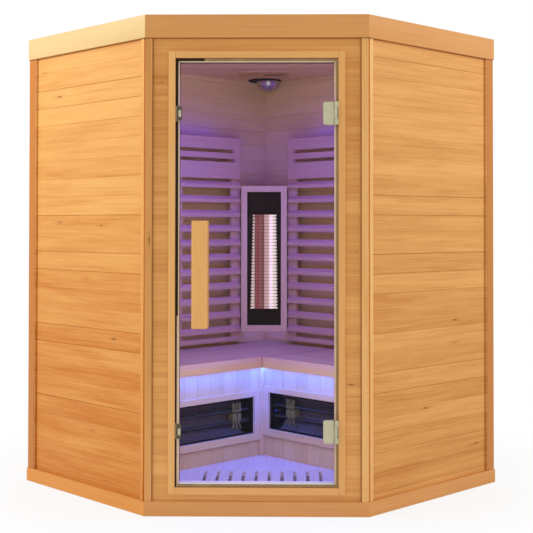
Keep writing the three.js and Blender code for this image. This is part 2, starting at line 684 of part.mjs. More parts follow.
function ventSlide() {
  const halfDepth = VENT_CHANNEL_DEPTH / 2 - VENT_RUNNING_GAP;
  const bottom = CEILING_LEVEL - VENT_CHANNEL_HEIGHT;
  const top = CEILING_LEVEL - VENT_RUNNING_GAP;
  const right = VENT_SLIDE_LEFT + VENT_SLIDE_LENGTH;
  const board = box(VENT_SLIDE_LEFT, right, VENT_Y - halfDepth, VENT_Y + halfDepth, bottom, top);
  const gripRight = right - VENT_GRIP_INSET;
  const grip = box(gripRight - VENT_GRIP_LENGTH, gripRight, VENT_Y - VENT_GRIP_DEPTH / 2,
    VENT_Y + VENT_GRIP_DEPTH / 2, bottom - VENT_GRIP_HEIGHT, bottom + OVERLAP);
  return join(board, grip);
}

function lampBase() {
  const top = CEILING_LEVEL - FIT_GAP;
  return post(0, LAMP_Y, LAMP_FLANGE_RADIUS, top - LAMP_FLANGE_THICK, top, LAMP_SIDES);
}

function lampDome() {
  const top = CEILING_LEVEL - FIT_GAP - LAMP_FLANGE_THICK - FIT_GAP;
  const profile = [[0, top - LAMP_DOME_DROP]];
  for (let ring = 1; ring <= LAMP_RINGS; ring += 1) {
    const angle = (ring / LAMP_RINGS) * (Math.PI / 2);
    profile.push([LAMP_DOME_RADIUS * Math.sin(angle), top - LAMP_DOME_DROP * Math.cos(angle)]);
  }
  profile.push([0, top]);
  return turned(profile, LAMP_SIDES).translate(LAMP_DOME_SHIFT, LAMP_Y, 0);
}

addPiece(plan, 'vent_frame', ventFrame(), benchWood);
addPiece(plan, 'vent_slide', ventSlide(), benchWood);
addPiece(plan, 'lamp_base', lampBase(), blackPlastic);
addPiece(plan, 'lamp_dome', lampDome(), chrome);

// Door frame: full height jambs, with the head and sill between them. Each has a stop behind the glass.
function jamb(side) {
  const [casing0, casing1] = [side * OPENING_HALF, side * REVEAL_HALF].sort((a, b) => a - b);
  const [stop0, stop1] = [side * (REVEAL_HALF + OVERLAP), side * STOP_HALF].sort((a, b) => a - b);
  return join(
    box(casing0, casing1, CASING_Y, INNER_FRONT_Y, OPENING_BOTTOM, OPENING_TOP),
    box(stop0, stop1, STOP_Y, INNER_FRONT_Y, OPENING_BOTTOM, OPENING_TOP),
  );
}

function crossFrame(outer, reveal, stop) {
  const [casing0, casing1] = [outer, reveal].sort((a, b) => a - b);
  const [stop0, stop1] = [outer, stop].sort((a, b) => a - b);
  const reach = REVEAL_HALF - FIT_GAP;
  const stopReach = STOP_HALF - FIT_GAP;
  return join(
    box(-reach, reach, CASING_Y, STOP_Y - FIT_GAP, casing0, casing1),
    box(-stopReach, stopReach, CASING_Y + OVERLAP, INNER_FRONT_Y, casing0, casing1),
    box(-stopReach, stopReach, STOP_Y, INNER_FRONT_Y, stop0, stop1),
  );
}

addPiece(plan, 'door_jamb_hinge', jamb(1), trimWood);
addPiece(plan, 'door_jamb_latch', jamb(-1), trimWood);
addPiece(plan, 'door_head', crossFrame(OPENING_TOP, REVEAL_TOP, STOP_TOP), trimWood);
addPiece(plan, 'door_sill', crossFrame(OPENING_BOTTOM, REVEAL_BOTTOM, STOP_BOTTOM), trimWood);

// Door: a pane of glass, with a wooden pull bolted through it
const HANDLE_X = -GLASS_HALF + HANDLE_FROM_EDGE + HANDLE_WIDTH / 2;
const HANDLE_BOLTS = [HANDLE_BOTTOM + HANDLE_POST_INSET, HANDLE_BOTTOM + HANDLE_HEIGHT - HANDLE_POST_INSET];

function roundedPane(half, bottom, top, radius) {
  const shape = new THREE.Shape();
  shape.moveTo(-half + radius, bottom);
  shape.lineTo(half - radius, bottom);
  shape.absarc(half - radius, bottom + radius, radius, -Math.PI / 2, 0);
  shape.lineTo(half, top - radius);
  shape.absarc(half - radius, top - radius, radius, 0, Math.PI / 2);
  shape.lineTo(-half + radius, top);
  shape.absarc(-half + radius, top - radius, radius, Math.PI / 2, Math.PI);
  shape.lineTo(-half, bottom + radius);
  shape.absarc(-half + radius, bottom + radius, radius, Math.PI, 1.5 * Math.PI);
  return shape;
}

function doorGlass() {
  const shape = roundedPane(GLASS_HALF, GLASS_BOTTOM, GLASS_TOP, GLASS_CORNER_RADIUS);
  const pane = upright(shape, GLASS_FRONT, GLASS_BACK);
  const holes = HANDLE_BOLTS.map((z) =>
    rodAlongY(HANDLE_X, z, HANDLE_HOLE_RADIUS, GLASS_FRONT - OVERLAP, GLASS_BACK + OVERLAP));
  return cut(pane, ...holes);
}

function handlePlate(y0, y1) {
  const half = HANDLE_WIDTH / 2;
  return box(HANDLE_X - half, HANDLE_X + half, y0, y1, HANDLE_BOTTOM, HANDLE_BOTTOM + HANDLE_HEIGHT);
}

// The outer pull carries the two bolts that pass through the glass
function handleOuter() {
  const back = HANDLE_FRONT + HANDLE_THICK;
  const foot = GLASS_FRONT - FIT_GAP;
  const posts = HANDLE_BOLTS.map((z) => rodAlongY(HANDLE_X, z, HANDLE_POST_RADIUS, back - OVERLAP, foot));
  const bolts = HANDLE_BOLTS.map((z) =>
    rodAlongY(HANDLE_X, z, HANDLE_BOLT_RADIUS, foot - OVERLAP, GLASS_BACK));
  return join(handlePlate(HANDLE_FRONT, back), ...posts, ...bolts);
}

function handleInner() {
  const front = GLASS_BACK + HANDLE_STANDOFF;
  const foot = GLASS_BACK + FIT_GAP;
  const posts = HANDLE_BOLTS.map((z) => rodAlongY(HANDLE_X, z, HANDLE_POST_RADIUS, foot, front + OVERLAP));
  return join(handlePlate(front, front + HANDLE_THICK), ...posts);
}

addPiece(plan, 'door_glass', doorGlass(), clearGlass);
addPiece(plan, 'door_handle_outer', handleOuter(), trimWood);
addPiece(plan, 'door_handle_inner', handleInner(), trimWood);

// Hinges: a clamp on the glass with the middle knuckle, a leaf on the jamb with two knuckles, and a pin
const PIN_BORE = PIN_RADIUS + PIN_RUNNING_GAP;

function hingeClamp(level) {
  const [bottom, top] = [level - CLAMP_HEIGHT / 2, level + CLAMP_HEIGHT / 2];
  const [low, high] = [level - KNUCKLE_MIDDLE / 2, level + KNUCKLE_MIDDLE / 2];
  const inner = GLASS_HALF - CLAMP_WIDTH;
  const web = GLASS_HALF + FIT_GAP;
  const outer = web + CLAMP_THICK;
  const front = GLASS_FRONT - FIT_GAP;
  const back = GLASS_BACK + FIT_GAP;
  const solid = join(
    box(inner, HINGE_X - KNUCKLE_RADIUS - KNUCKLE_GAP, front - CLAMP_THICK, front, bottom, top),
    box(inner + OVERLAP, outer, front - CLAMP_THICK, front, low, high),
    box(web, outer, front - CLAMP_THICK, back + CLAMP_THICK, low, high),
    box(inner, outer, back, back + CLAMP_THICK, bottom, top),
    post(HINGE_X, HINGE_Y, KNUCKLE_RADIUS, low, high),
  );
  return cut(solid, post(HINGE_X, HINGE_Y, PIN_BORE, low - OVERLAP, high + OVERLAP));
}

function hingeLeaf(level) {
  const [bottom, top] = [level - CLAMP_HEIGHT / 2, level + CLAMP_HEIGHT / 2];
  const middle = KNUCKLE_MIDDLE / 2 + KNUCKLE_GAP;
  const right = REVEAL_HALF - FIT_GAP;
  const plate = box(right - LEAF_THICK, right, HINGE_Y - LEAF_FRONT, STOP_Y - FIT_GAP, bottom, top);
  const knuckles = [[bottom, level - middle], [level + middle, top]].flatMap(([low, high]) => [
    post(HINGE_X, HINGE_Y, KNUCKLE_RADIUS, low, high),
    box(HINGE_X, right - LEAF_THICK + OVERLAP, HINGE_Y - LEAF_FRONT, HINGE_Y + LEAF_FRONT, low, high),
  ]);
  return cut(join(plate, ...knuckles), post(HINGE_X, HINGE_Y, PIN_BORE, bottom - OVERLAP, top + OVERLAP));
}

function hingePin(level) {
  const end = CLAMP_HEIGHT / 2 + FIT_GAP;
  return join(
    post(HINGE_X, HINGE_Y, PIN_RADIUS, level - end - OVERLAP, level + end + OVERLAP),
    post(HINGE_X, HINGE_Y, PIN_HEAD_RADIUS, level + end, level + end + PIN_HEAD_HEIGHT),
    post(HINGE_X, HINGE_Y, PIN_HEAD_RADIUS, level - end - PIN_HEAD_HEIGHT, level - end),
  );
}

// Catches: a magnet on the latch jamb, and a steel strike over the edge of the glass
function catchMagnet(level) {
  const left = -REVEAL_HALF + FIT_GAP;
  const back = STOP_Y - FIT_GAP;
  const [bottom, top] = [level - CATCH_HEIGHT / 2, level + CATCH_HEIGHT / 2];
  return box(left, left + CATCH_THICK, back - CATCH_DEPTH, back, bottom, top);
}

function catchStrike(level) {
  const [bottom, top] = [level - CATCH_HEIGHT / 2, level + CATCH_HEIGHT / 2];
  const edge = -GLASS_HALF - FIT_GAP;
  const outer = -REVEAL_HALF + FIT_GAP + CATCH_THICK + CATCH_AIR_GAP;
  const front = GLASS_FRONT - FIT_GAP;
  return join(
    box(outer, -GLASS_HALF + STRIKE_WIDTH, front - STRIKE_THICK, front, bottom, top),
    box(outer, edge, front - STRIKE_THICK, GLASS_BACK, bottom, top),
  );
}

for (const [place, level] of Object.entries(HARDWARE_LEVELS)) {
  addPiece(plan, `hinge_${place}_clamp`, hingeClamp(level), steel);
  addPiece(plan, `hinge_${place}_leaf`, hingeLeaf(level), steel);
  addPiece(plan, `hinge_${place}_pin`, hingePin(level), steel);
  addPiece(plan, `catch_${place}`, catchMagnet(level), blackPlastic);
  addPiece(plan, `strike_${place}`, catchStrike(level), steel);
}

// Benches, in the corner group. The left seat runs right into the corner, and the right seat butts on it.
const SEAT_END = INNER_SIDE - FIT_GAP;
const EDGE_LINE = SEAT_DEPTH - SEAT_EDGE_THICK;
const BENCH_TOP = SEAT_BOTTOM - FIT_GAP;
const BENCH_BOTTOM = FLOOR_LEVEL + FIT_GAP;
const LED_BOTTOM = BENCH_TOP - LED_HEIGHT;

// The mirror image of a piece about the cabin's middle plane, which swaps x and y in the corner group
function mirrored(geometry) {
  const image = geometry.index ? geometry.toNonIndexed() : geometry.clone();
  const position = image.attributes.position;
  for (let i = 0; i < position.count; i += 3) {
    const points = [0, 2, 1].map((k) => new THREE.Vector3().fromBufferAttribute(position, i + k));
    points.forEach((point, k) => position.setXYZ(i + k, point.y, point.x, point.z));
  }
  return image;
}

// Seat boards along the rear left wall, grooved on top
function seatBoards(start) {
  const grooved = boardedEdge(SEAT_LEVEL, -GROOVE_DEPTH, FIT_GAP, EDGE_LINE, SEAT_BOARD_PITCH);
  const section = grooved.map(([z, y]) => [y, z]);
  return wallRun([...section, [EDGE_LINE, SEAT_BOTTOM], [FIT_GAP, SEAT_BOTTOM]], start, SEAT_END);
}

function seatLeft() {
  const nose = box(FIT_GAP, EDGE_LINE - FIT_GAP, EDGE_LINE - OVERLAP, SEAT_DEPTH, SEAT_BOTTOM, SEAT_LEVEL);
  return join(seatBoards(FIT_GAP), nose);
}

function seatEdge(start) {
  return box(start, SEAT_END, EDGE_LINE + FIT_GAP, SEAT_DEPTH, SEAT_LEVEL - SEAT_EDGE_HEIGHT, SEAT_LEVEL);
}

addPiece(corner, 'seat_left', seatLeft(), benchWood);
addPiece(corner, 'seat_right', mirrored(seatBoards(SEAT_DEPTH + FIT_GAP)), benchWood);
addPiece(corner, 'seat_edge_left', seatEdge(EDGE_LINE), benchWood);
addPiece(corner, 'seat_edge_right', mirrored(seatEdge(SEAT_DEPTH + FIT_GAP)), benchWood);

// Edges of a bench heater's frame and of its window, along x and up z
function heaterPlace(rise) {
  const bottom = FLOOR_LEVEL + BENCH_FRAME_BOTTOM + rise;
  const frame = {
    left: BENCH_PLANE + FIT_GAP + CORNER_POST + BENCH_FRAME_START,
    right: INNER_SIDE - BENCH_FRAME_END_MARGIN,
    bottom,
    top: bottom + BENCH_FRAME_HEIGHT,
  };
  const window = {
    left: frame.left + BENCH_BORDER,
    right: frame.right - BENCH_BORDER,
    bottom: frame.bottom + BENCH_BORDER,
    top: frame.top - BENCH_TOP_BORDER,
  };
  return { frame, window };
}

const LEFT_HEATER = heaterPlace(0);
const RIGHT_HEATER = heaterPlace(RIGHT_HEATER_RISE);

// Bench front of upright boards, with the heater's opening
function benchFront(start, window) {
  const face = boardedEdge(BENCH_PLANE, -GROOVE_DEPTH, start, SEAT_END).map(([y, x]) => [x, y]);
  const back = BENCH_PLANE - BENCH_FRONT_THICK;
  const boards = prism([...face, [SEAT_END, back], [start, back]], BENCH_BOTTOM, BENCH_TOP);
  const { left, right, bottom, top } = window;
  return cut(boards, box(left, right, back - OVERLAP, BENCH_PLANE + OVERLAP, bottom, top));
}

// The left front also carries the post in the inner corner
function benchFrontLeft() {
  const start = BENCH_PLANE + FIT_GAP;
  const end = start + CORNER_POST;
  const root = BENCH_PLANE - GROOVE_DEPTH - OVERLAP;
  const cornerPost = box(start, end, root, end, BENCH_BOTTOM, LED_BOTTOM - FIT_GAP);
  return join(benchFront(start, LEFT_HEATER.window), cornerPost);
}

function ledStrip() {
  const inner = BENCH_PLANE + LED_SETBACK;
  const outer = inner + LED_WIDTH;
  const end = SEAT_END - LED_END_MARGIN;
  const angle = [[inner, inner], [end, inner], [end, outer], [outer, outer], [outer, end], [inner, end]];
  return prism(angle, LED_BOTTOM, BENCH_TOP);
}

addPiece(corner, 'bench_front_left', benchFrontLeft(), benchWood);
const rightFront = benchFront(BENCH_PLANE - BENCH_FRONT_THICK, RIGHT_HEATER.window);
addPiece(corner, 'bench_front_right', mirrored(rightFront), benchWood);
addPiece(corner, 'led_strip', ledStrip(), ledWhite);

// Heater parts shared by the benches and the corner. Each is drawn in x and z.
function windowFrame(outer, window, y0, y1) {
  const rim = rectangle(outer.left, outer.right, outer.bottom, outer.top);
  const opening = rectangle(window.left, window.right, window.bottom, window.top);
  return upright(polygon(rim, [opening]), y0, y1);
}

function shrunk({ left, right, bottom, top }, amount) {
  return { left: left + amount, right: right - amount, bottom: bottom + amount, top: top - amount };
}

// A steel tray, open towards lower y on its rim side
function tray(window, rim, back) {
  const outer = shrunk(window, FIT_GAP);
  const inner = shrunk(outer, TRAY_WALL);
  const toBack = Math.sign(back - rim);
  const [y0, y1] = [rim, back].sort((a, b) => a - b);
  const [c0, c1] = [rim - toBack * OVERLAP, back - toBack * TRAY_WALL].sort((a, b) => a - b);
  return cut(
    box(outer.left, outer.right, y0, y1, outer.bottom, outer.top),
    box(inner.left, inner.right, c0, c1, inner.bottom, inner.top),
  );
}

const BENCH_TRAY_RIM = BENCH_PLANE - FIT_GAP;
const BENCH_TRAY_BACK = BENCH_TRAY_RIM - BENCH_TRAY_DEPTH;

// Tray with its two lying quartz tubes and their ceramic holders
function benchHeaterUnit(window) {
  const inside = shrunk(window, FIT_GAP + TRAY_WALL);
  const middleZ = (inside.bottom + inside.top) / 2;
  const tubeY = (BENCH_TRAY_RIM + BENCH_TRAY_BACK) / 2;
  const [start, end] = [inside.left - OVERLAP, inside.right + OVERLAP];
  const tubes = [-1, 1].map((side) =>
    rodAlongX(tubeY, middleZ + (side * BENCH_TUBE_SPACING) / 2, TUBE_RADIUS, start, end));
  const halfWidth = BENCH_HOLDER_WIDTH / 2;
  const [low, high] = [middleZ - BENCH_HOLDER_TALL / 2, middleZ + BENCH_HOLDER_TALL / 2];
  const holders = [inside.left + BENCH_HOLDER_INSET, inside.right - BENCH_HOLDER_INSET].map((x) =>
    box(x - halfWidth, x + halfWidth, BENCH_TRAY_BACK + OVERLAP, tubeY + TUBE_RADIUS, low, high));
  return join(tray(window, BENCH_TRAY_RIM, BENCH_TRAY_BACK), ...tubes, ...holders);
}

// Flat guard with upright slots
function benchHeaterGuard(window) {
  const plate = shrunk(window, FIT_GAP);
  const open = shrunk(plate, BENCH_MESH_MARGIN);
  const count = Math.floor((open.right - open.left + MESH_BAR) / BENCH_MESH_PITCH);
  const start = (open.left + open.right - count * BENCH_MESH_PITCH + MESH_BAR) / 2;
  const back = BENCH_PLANE + FIT_GAP;
  const face = back + GUARD_THICK;
  const slots = Array.from({ length: count }, (_, i) => {
    const left = start + i * BENCH_MESH_PITCH;
    const right = left + BENCH_MESH_PITCH - MESH_BAR;
    return box(left, right, back - OVERLAP, face + OVERLAP, open.bottom, open.top);
  });
  return cut(box(plate.left, plate.right, back, face, plate.bottom, plate.top), ...slots);
}

function benchHeaterFrame({ frame, window }) {
  const back = BENCH_PLANE + FIT_GAP;
  return windowFrame(frame, window, back, back + BENCH_FRAME_THICK);
}

const asDrawn = (geometry) => geometry;
for (const [side, place, turn] of [['left', LEFT_HEATER, asDrawn], ['right', RIGHT_HEATER, mirrored]]) {
  addPiece(corner, `bench_heater_${side}_frame`, turn(benchHeaterFrame(place)), benchWood);
  addPiece(corner, `bench_heater_${side}_unit`, turn(benchHeaterUnit(place.window)), blackSteel);
  addPiece(corner, `bench_heater_${side}_guard`, turn(benchHeaterGuard(place.window)), blackSteel);
}

// Backrest on the rear left wall: two stiles on spacer blocks, slats, a foot rail and a slotted top board
function backrest() {
  const [left, right] = [BACKREST_START, BACKREST_START + BACKREST_LENGTH];
  const slatBack = BACKREST_DEPTH - SLAT_THICK;
  const bar = (bottom, top) => box(left, right, slatBack, BACKREST_DEPTH, bottom, top);
  const footBottom = SEAT_LEVEL + FOOT_RAIL_RISE;
  const slatBottoms = Array.from({ length: SLAT_COUNT }, (_, i) => SEAT_LEVEL + FIRST_SLAT_RISE + i * SLAT_PITCH);
  const slats = slatBottoms.map((bottom) => wallRun([
    [slatBack, bottom],
    [BACKREST_DEPTH, bottom],
    [BACKREST_DEPTH, bottom + SLAT_HEIGHT - SLAT_SLOPE],
    [BACKREST_DEPTH - SLAT_SLOPE, bottom + SLAT_HEIGHT],
    [slatBack, bottom + SLAT_HEIGHT],
  ], left, right));
  const boardBottom = slatBottoms[SLAT_COUNT - 1] + SLAT_HEIGHT + TOP_BOARD_GAP;
  const boardTop = boardBottom + TOP_BOARD_HEIGHT;
  const slots = Array.from({ length: TOP_SLOT_COUNT }, (_, i) => {
    const middle = boardTop - TOP_SLOT_DROP - i * TOP_SLOT_PITCH;
    return box(left + TOP_SLOT_INSET, right - TOP_SLOT_INSET, slatBack - OVERLAP, BACKREST_DEPTH + OVERLAP,
      middle - TOP_SLOT_HEIGHT / 2, middle + TOP_SLOT_HEIGHT / 2);
  });
  const topBoard = cut(bar(boardBottom, boardTop), ...slots);
  const stileBack = slatBack - STILE_THICK;
  const stileSpans = [
    [left - INNER_STILE_REACH, left - INNER_STILE_REACH + INNER_STILE_WIDTH],
    [right - OUTER_STILE_INSET - OUTER_STILE_WIDTH, right - OUTER_STILE_INSET],
  ];
  const stiles = stileSpans.map(([x0, x1]) =>
    box(x0, x1, stileBack, slatBack + OVERLAP, footBottom, boardBottom + STILE_LAP));
  const spacers = stileSpans.flatMap(([x0, x1]) => SPACED_SLATS.map((i) => {
    const bottom = slatBottoms[i] + (SLAT_HEIGHT - SPACER_HEIGHT) / 2;
    return box(x0, x1, FIT_GAP, stileBack + OVERLAP, bottom, bottom + SPACER_HEIGHT);
  }));
  const footRail = bar(footBottom, footBottom + FOOT_RAIL_HEIGHT);
  return join(topBoard, ...stiles, ...spacers, footRail, ...slats);
}

addPiece(corner, 'backrest_left', backrest(), benchWood);
addPiece(corner, 'backrest_right', mirrored(backrest()), benchWood);

// Corner heater, facing the door between the two backrests
const CORNER_FRAME = {
  left: -CORNER_HALF,
  right: CORNER_HALF,
  bottom: CORNER_FRAME_BOTTOM,
  top: CORNER_FRAME_BOTTOM + CORNER_FRAME_HEIGHT,
};
const CORNER_WINDOW = shrunk(CORNER_FRAME, CORNER_BORDER);
const CORNER_TRAY_RIM = CORNER_FRAME_Y + TRAY_SETBACK;
const CORNER_TRAY_BACK = CORNER_TRAY_RIM + CORNER_TRAY_DEPTH;

// Frame with two cheeks, cut to the angle of the rear walls that they rest on
function cornerFrame() {
  const { bottom, top } = CORNER_FRAME;
  const back = CORNER_FRAME_Y + CORNER_FRAME_THICK;
  const wallY = (x) => INNER_CORNER[1] - x - FIT_GAP * Math.SQRT2;
  const inner = CORNER_HALF - CHEEK_THICK;
  const cheeks = [-1, 1].map((side) => prism([
    [side * inner, back - OVERLAP],
    [side * CORNER_HALF, back - OVERLAP],
    [side * CORNER_HALF, wallY(CORNER_HALF)],
    [side * inner, wallY(inner)],
  ], bottom, top));
  return join(windowFrame(CORNER_FRAME, CORNER_WINDOW, CORNER_FRAME_Y, back), ...cheeks);
}

// Black face plate with a field of lying slots in front of the tubes
function cornerGuard() {
  const plate = shrunk(CORNER_WINDOW, FIT_GAP + TRAY_WALL + FIT_GAP);
  const count = Math.floor(CORNER_MESH_HEIGHT / CORNER_MESH_PITCH);
  const start = CORNER_WINDOW.bottom + CORNER_MESH_RISE;
  const half = CORNER_MESH_WIDTH / 2;
  const face = CORNER_TRAY_RIM + GUARD_SETBACK;
  const back = face + GUARD_THICK;
  const slots = Array.from({ length: count }, (_, i) => {
    const bottom = start + i * CORNER_MESH_PITCH;
    return box(-half, half, face - OVERLAP, back + OVERLAP, bottom, bottom + CORNER_MESH_PITCH - MESH_BAR);
  });
  return cut(box(plate.left, plate.right, face, back, plate.bottom, plate.top), ...slots);
}

// Standing quartz tube with a ceramic holder at each end, fixed to the back of the tray
function cornerTube(side) {
  const x = (side * CORNER_TUBE_SPACING) / 2;
  const y = (CORNER_TRAY_RIM + CORNER_TRAY_BACK) / 2;
  const bottom = CORNER_WINDOW.bottom + CORNER_TUBE_MARGIN;
  const top = CORNER_WINDOW.top - CORNER_TUBE_MARGIN;
  const half = HOLDER_SIZE / 2;
  const back = CORNER_TRAY_BACK - TRAY_WALL - FIT_GAP;
  const holders = [bottom - HOLDER_HEIGHT, top].map((z) =>
    box(x - half, x + half, y - half, back, z, z + HOLDER_HEIGHT));
  return join(post(x, y, TUBE_RADIUS, bottom - OVERLAP, top + OVERLAP), ...holders);
}

addPiece(plan, 'corner_heater_frame', cornerFrame(), benchWood);
addPiece(plan, 'corner_heater_tray', tray(CORNER_WINDOW, CORNER_TRAY_RIM, CORNER_TRAY_BACK), blackSteel);
addPiece(plan, 'corner_heater_guard', cornerGuard(), blackSteel);
addPiece(plan, 'corner_heater_tube_left', cornerTube(-1), quartz);
addPiece(plan, 'corner_heater_tube_right', cornerTube(1), quartz);

// Touch control panel on the lining of the right side wall, near the door
function controlPanel() {
  const back = WALL_THICK + FIT_GAP;
  const face = back + PANEL_BODY_THICK;
  const end = PANEL_FROM_DOOR + PANEL_WIDTH;
  const top = PANEL_BOTTOM + PANEL_HEIGHT;
  const display = box(PANEL_FROM_DOOR + DISPLAY_MARGIN, end - DISPLAY_MARGIN, face - DISPLAY_DEPTH,
    face + OVERLAP, PANEL_BOTTOM + DISPLAY_MARGIN, top - DISPLAY_MARGIN);
  return cut(box(PANEL_FROM_DOOR, end, back, face, PANEL_BOTTOM, top), display);
}

addPiece(WALLS.right.group, 'control_panel', controlPanel(), blackPlastic);

export default cabin;
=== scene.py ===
"""Looks of a corner infrared sauna cabin: finishes, fine pieces, light and camera round the CAD frame.

Lengths are in metres, in the frame's own axes: +X to the right, +Y from the door to the rear corner, +Z up.
"""
import math

import bmesh
import bpy
from mathutils import Matrix, Vector
from mathutils.geometry import tessellate_polygon


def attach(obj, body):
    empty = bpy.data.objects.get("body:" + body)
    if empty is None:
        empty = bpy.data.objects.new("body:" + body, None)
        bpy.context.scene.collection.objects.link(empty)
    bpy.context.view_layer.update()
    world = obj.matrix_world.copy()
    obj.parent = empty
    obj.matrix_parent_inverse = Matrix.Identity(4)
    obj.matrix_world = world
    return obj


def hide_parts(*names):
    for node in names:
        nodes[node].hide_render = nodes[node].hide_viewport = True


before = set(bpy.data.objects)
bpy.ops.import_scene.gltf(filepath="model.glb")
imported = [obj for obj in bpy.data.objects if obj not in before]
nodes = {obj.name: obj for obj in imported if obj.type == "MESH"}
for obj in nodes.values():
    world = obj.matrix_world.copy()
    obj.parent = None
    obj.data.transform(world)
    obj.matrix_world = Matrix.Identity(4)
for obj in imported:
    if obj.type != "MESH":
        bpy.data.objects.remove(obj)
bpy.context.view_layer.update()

# Photograph's camera, solved from the corners of the cabin
IMAGE_SIDE = 533
FOCAL_PIXELS = 1100.74
PRINCIPAL_PIXEL = (273.29, 205.13)
CAMERA_PLACE = (0.11883, -4.94516, 1.10036)
CAMERA_TURN = (1.58865, -0.00085, 0.01343)
SENSOR_WIDTH = 36

# Plan of the frame
FRONT_HALF = 0.426
REAR_SIDE = 1.424
FASCIA_FRONT = -0.77892
INNER_CORNER = Vector((0, 0.72831, 0))
ROOT_HALF = math.sqrt(0.5)

# Boards and trims of the frame
BOARD_PITCH = 0.0758
WALL_FIRST_JOINT = 0.0773
LINING_FIRST_JOINT = 0.0623
CEILING_FIRST_JOINT = -0.76692
SEAT_FIRST_JOINT = 0.5147
SEAT_BOARD_PITCH = 0.1
RIGHT_SEAT_START = 0.0053
LEFT_BENCH_FIRST_JOINT = -0.0397
RIGHT_BENCH_FIRST_JOINT = 0.056
FRONT_TRIM = 0.026
NEAR_TRIM = 0.022
FAR_TRIM = 0.043

# Door
GLASS_HALF = 0.29903
GLASS_LOW = 0.118
GLASS_HIGH = 1.724
GLASS_FRONT = -0.76892
GLASS_BACK = -0.76092
REVEAL_HALF = 0.31003
REVEAL_LOW = 0.107
REVEAL_HIGH = 1.735
STOP_FACE = -0.75542
FIT = 0.0003
PULL_LEFT, PULL_RIGHT = -0.24453, -0.18453
PULL_LOW, PULL_HIGH = 0.7085, 1.1155
PULL_THICK = 0.02
PULL_STANDOFF = 0.02
PULL_BOLTS = (0.7685, 1.0555)
HARDWARE_LEVELS = {"upper": 1.524, "lower": 0.318}
HINGE_X, HINGE_Y = 0.30073, -0.77622
KNUCKLE_RADIUS = 0.007
KNUCKLE_HALF = 0.02
PIN_BORE = 0.0033
CLAMP_LEFT = 0.25203
CLAMP_HALF = 0.0435
CLAMP_THICK = 0.0037
LEAF_THICK = 0.0017
CATCH_HALF = 0.0275

# Heaters
BENCH_PLANE = 0.475
BENCH_WINDOWS = {"left": (0.5308, 1.068, 0.165, 0.329), "right": (0.5308, 1.068, 0.185, 0.349)}
BENCH_TRAY_DEPTH = 0.06
BENCH_TUBE_RISE = 0.025
HOLDER_INSETS = {"left": 0.078, "right": 0.107}
REFLECTOR_INSET = 0.052
TUBE_RADIUS = 0.008
CORNER_WINDOW = (-0.0835, 0.0835, 0.604, 1.263)
CORNER_RIM = 0.50568
CORNER_BACK = 0.57368
CORNER_TUBE_X = 0.033
CORNER_TUBE_ENDS = (0.664, 1.203)
MESH_HALF = 0.067
MESH_TOP_LEFT, MESH_TOP_RIGHT = -0.056, 0.061
MESH_LOW = 0.681
MESH_ROWS = 30
MESH_PITCH = 0.0158

# Ceiling and roof
FASCIA_BOTTOM = 1.812
CEILING_LEVEL = 1.828
LAMP_Y = 0.59431
LAMP_BOWL_X = 0.019
COVER_TOP = 1.89
GLAND_Y = 0.46831


def srgb(red, green, blue):
    """A colour written in the usual 0 to 255 steps, as Blender's linear colour."""
    def linear(step):
        share = step / 255
        return share / 12.92 if share <= 0.04045 else ((share + 0.055) / 1.055) ** 2.4
    return (linear(red), linear(green), linear(blue), 1)


# Camera
def make_camera():
    camera = bpy.data.objects.new("camera", bpy.data.cameras.new("camera"))
    camera.data.sensor_width = SENSOR_WIDTH
    camera.data.lens = FOCAL_PIXELS * SENSOR_WIDTH / IMAGE_SIDE
    camera.data.shift_x = 0.5 - PRINCIPAL_PIXEL[0] / IMAGE_SIDE
    camera.data.shift_y = PRINCIPAL_PIXEL[1] / IMAGE_SIDE - 0.5
    camera.location = CAMERA_PLACE
    camera.rotation_euler = CAMERA_TURN
    bpy.context.scene.collection.objects.link(camera)
    bpy.context.scene.camera = camera


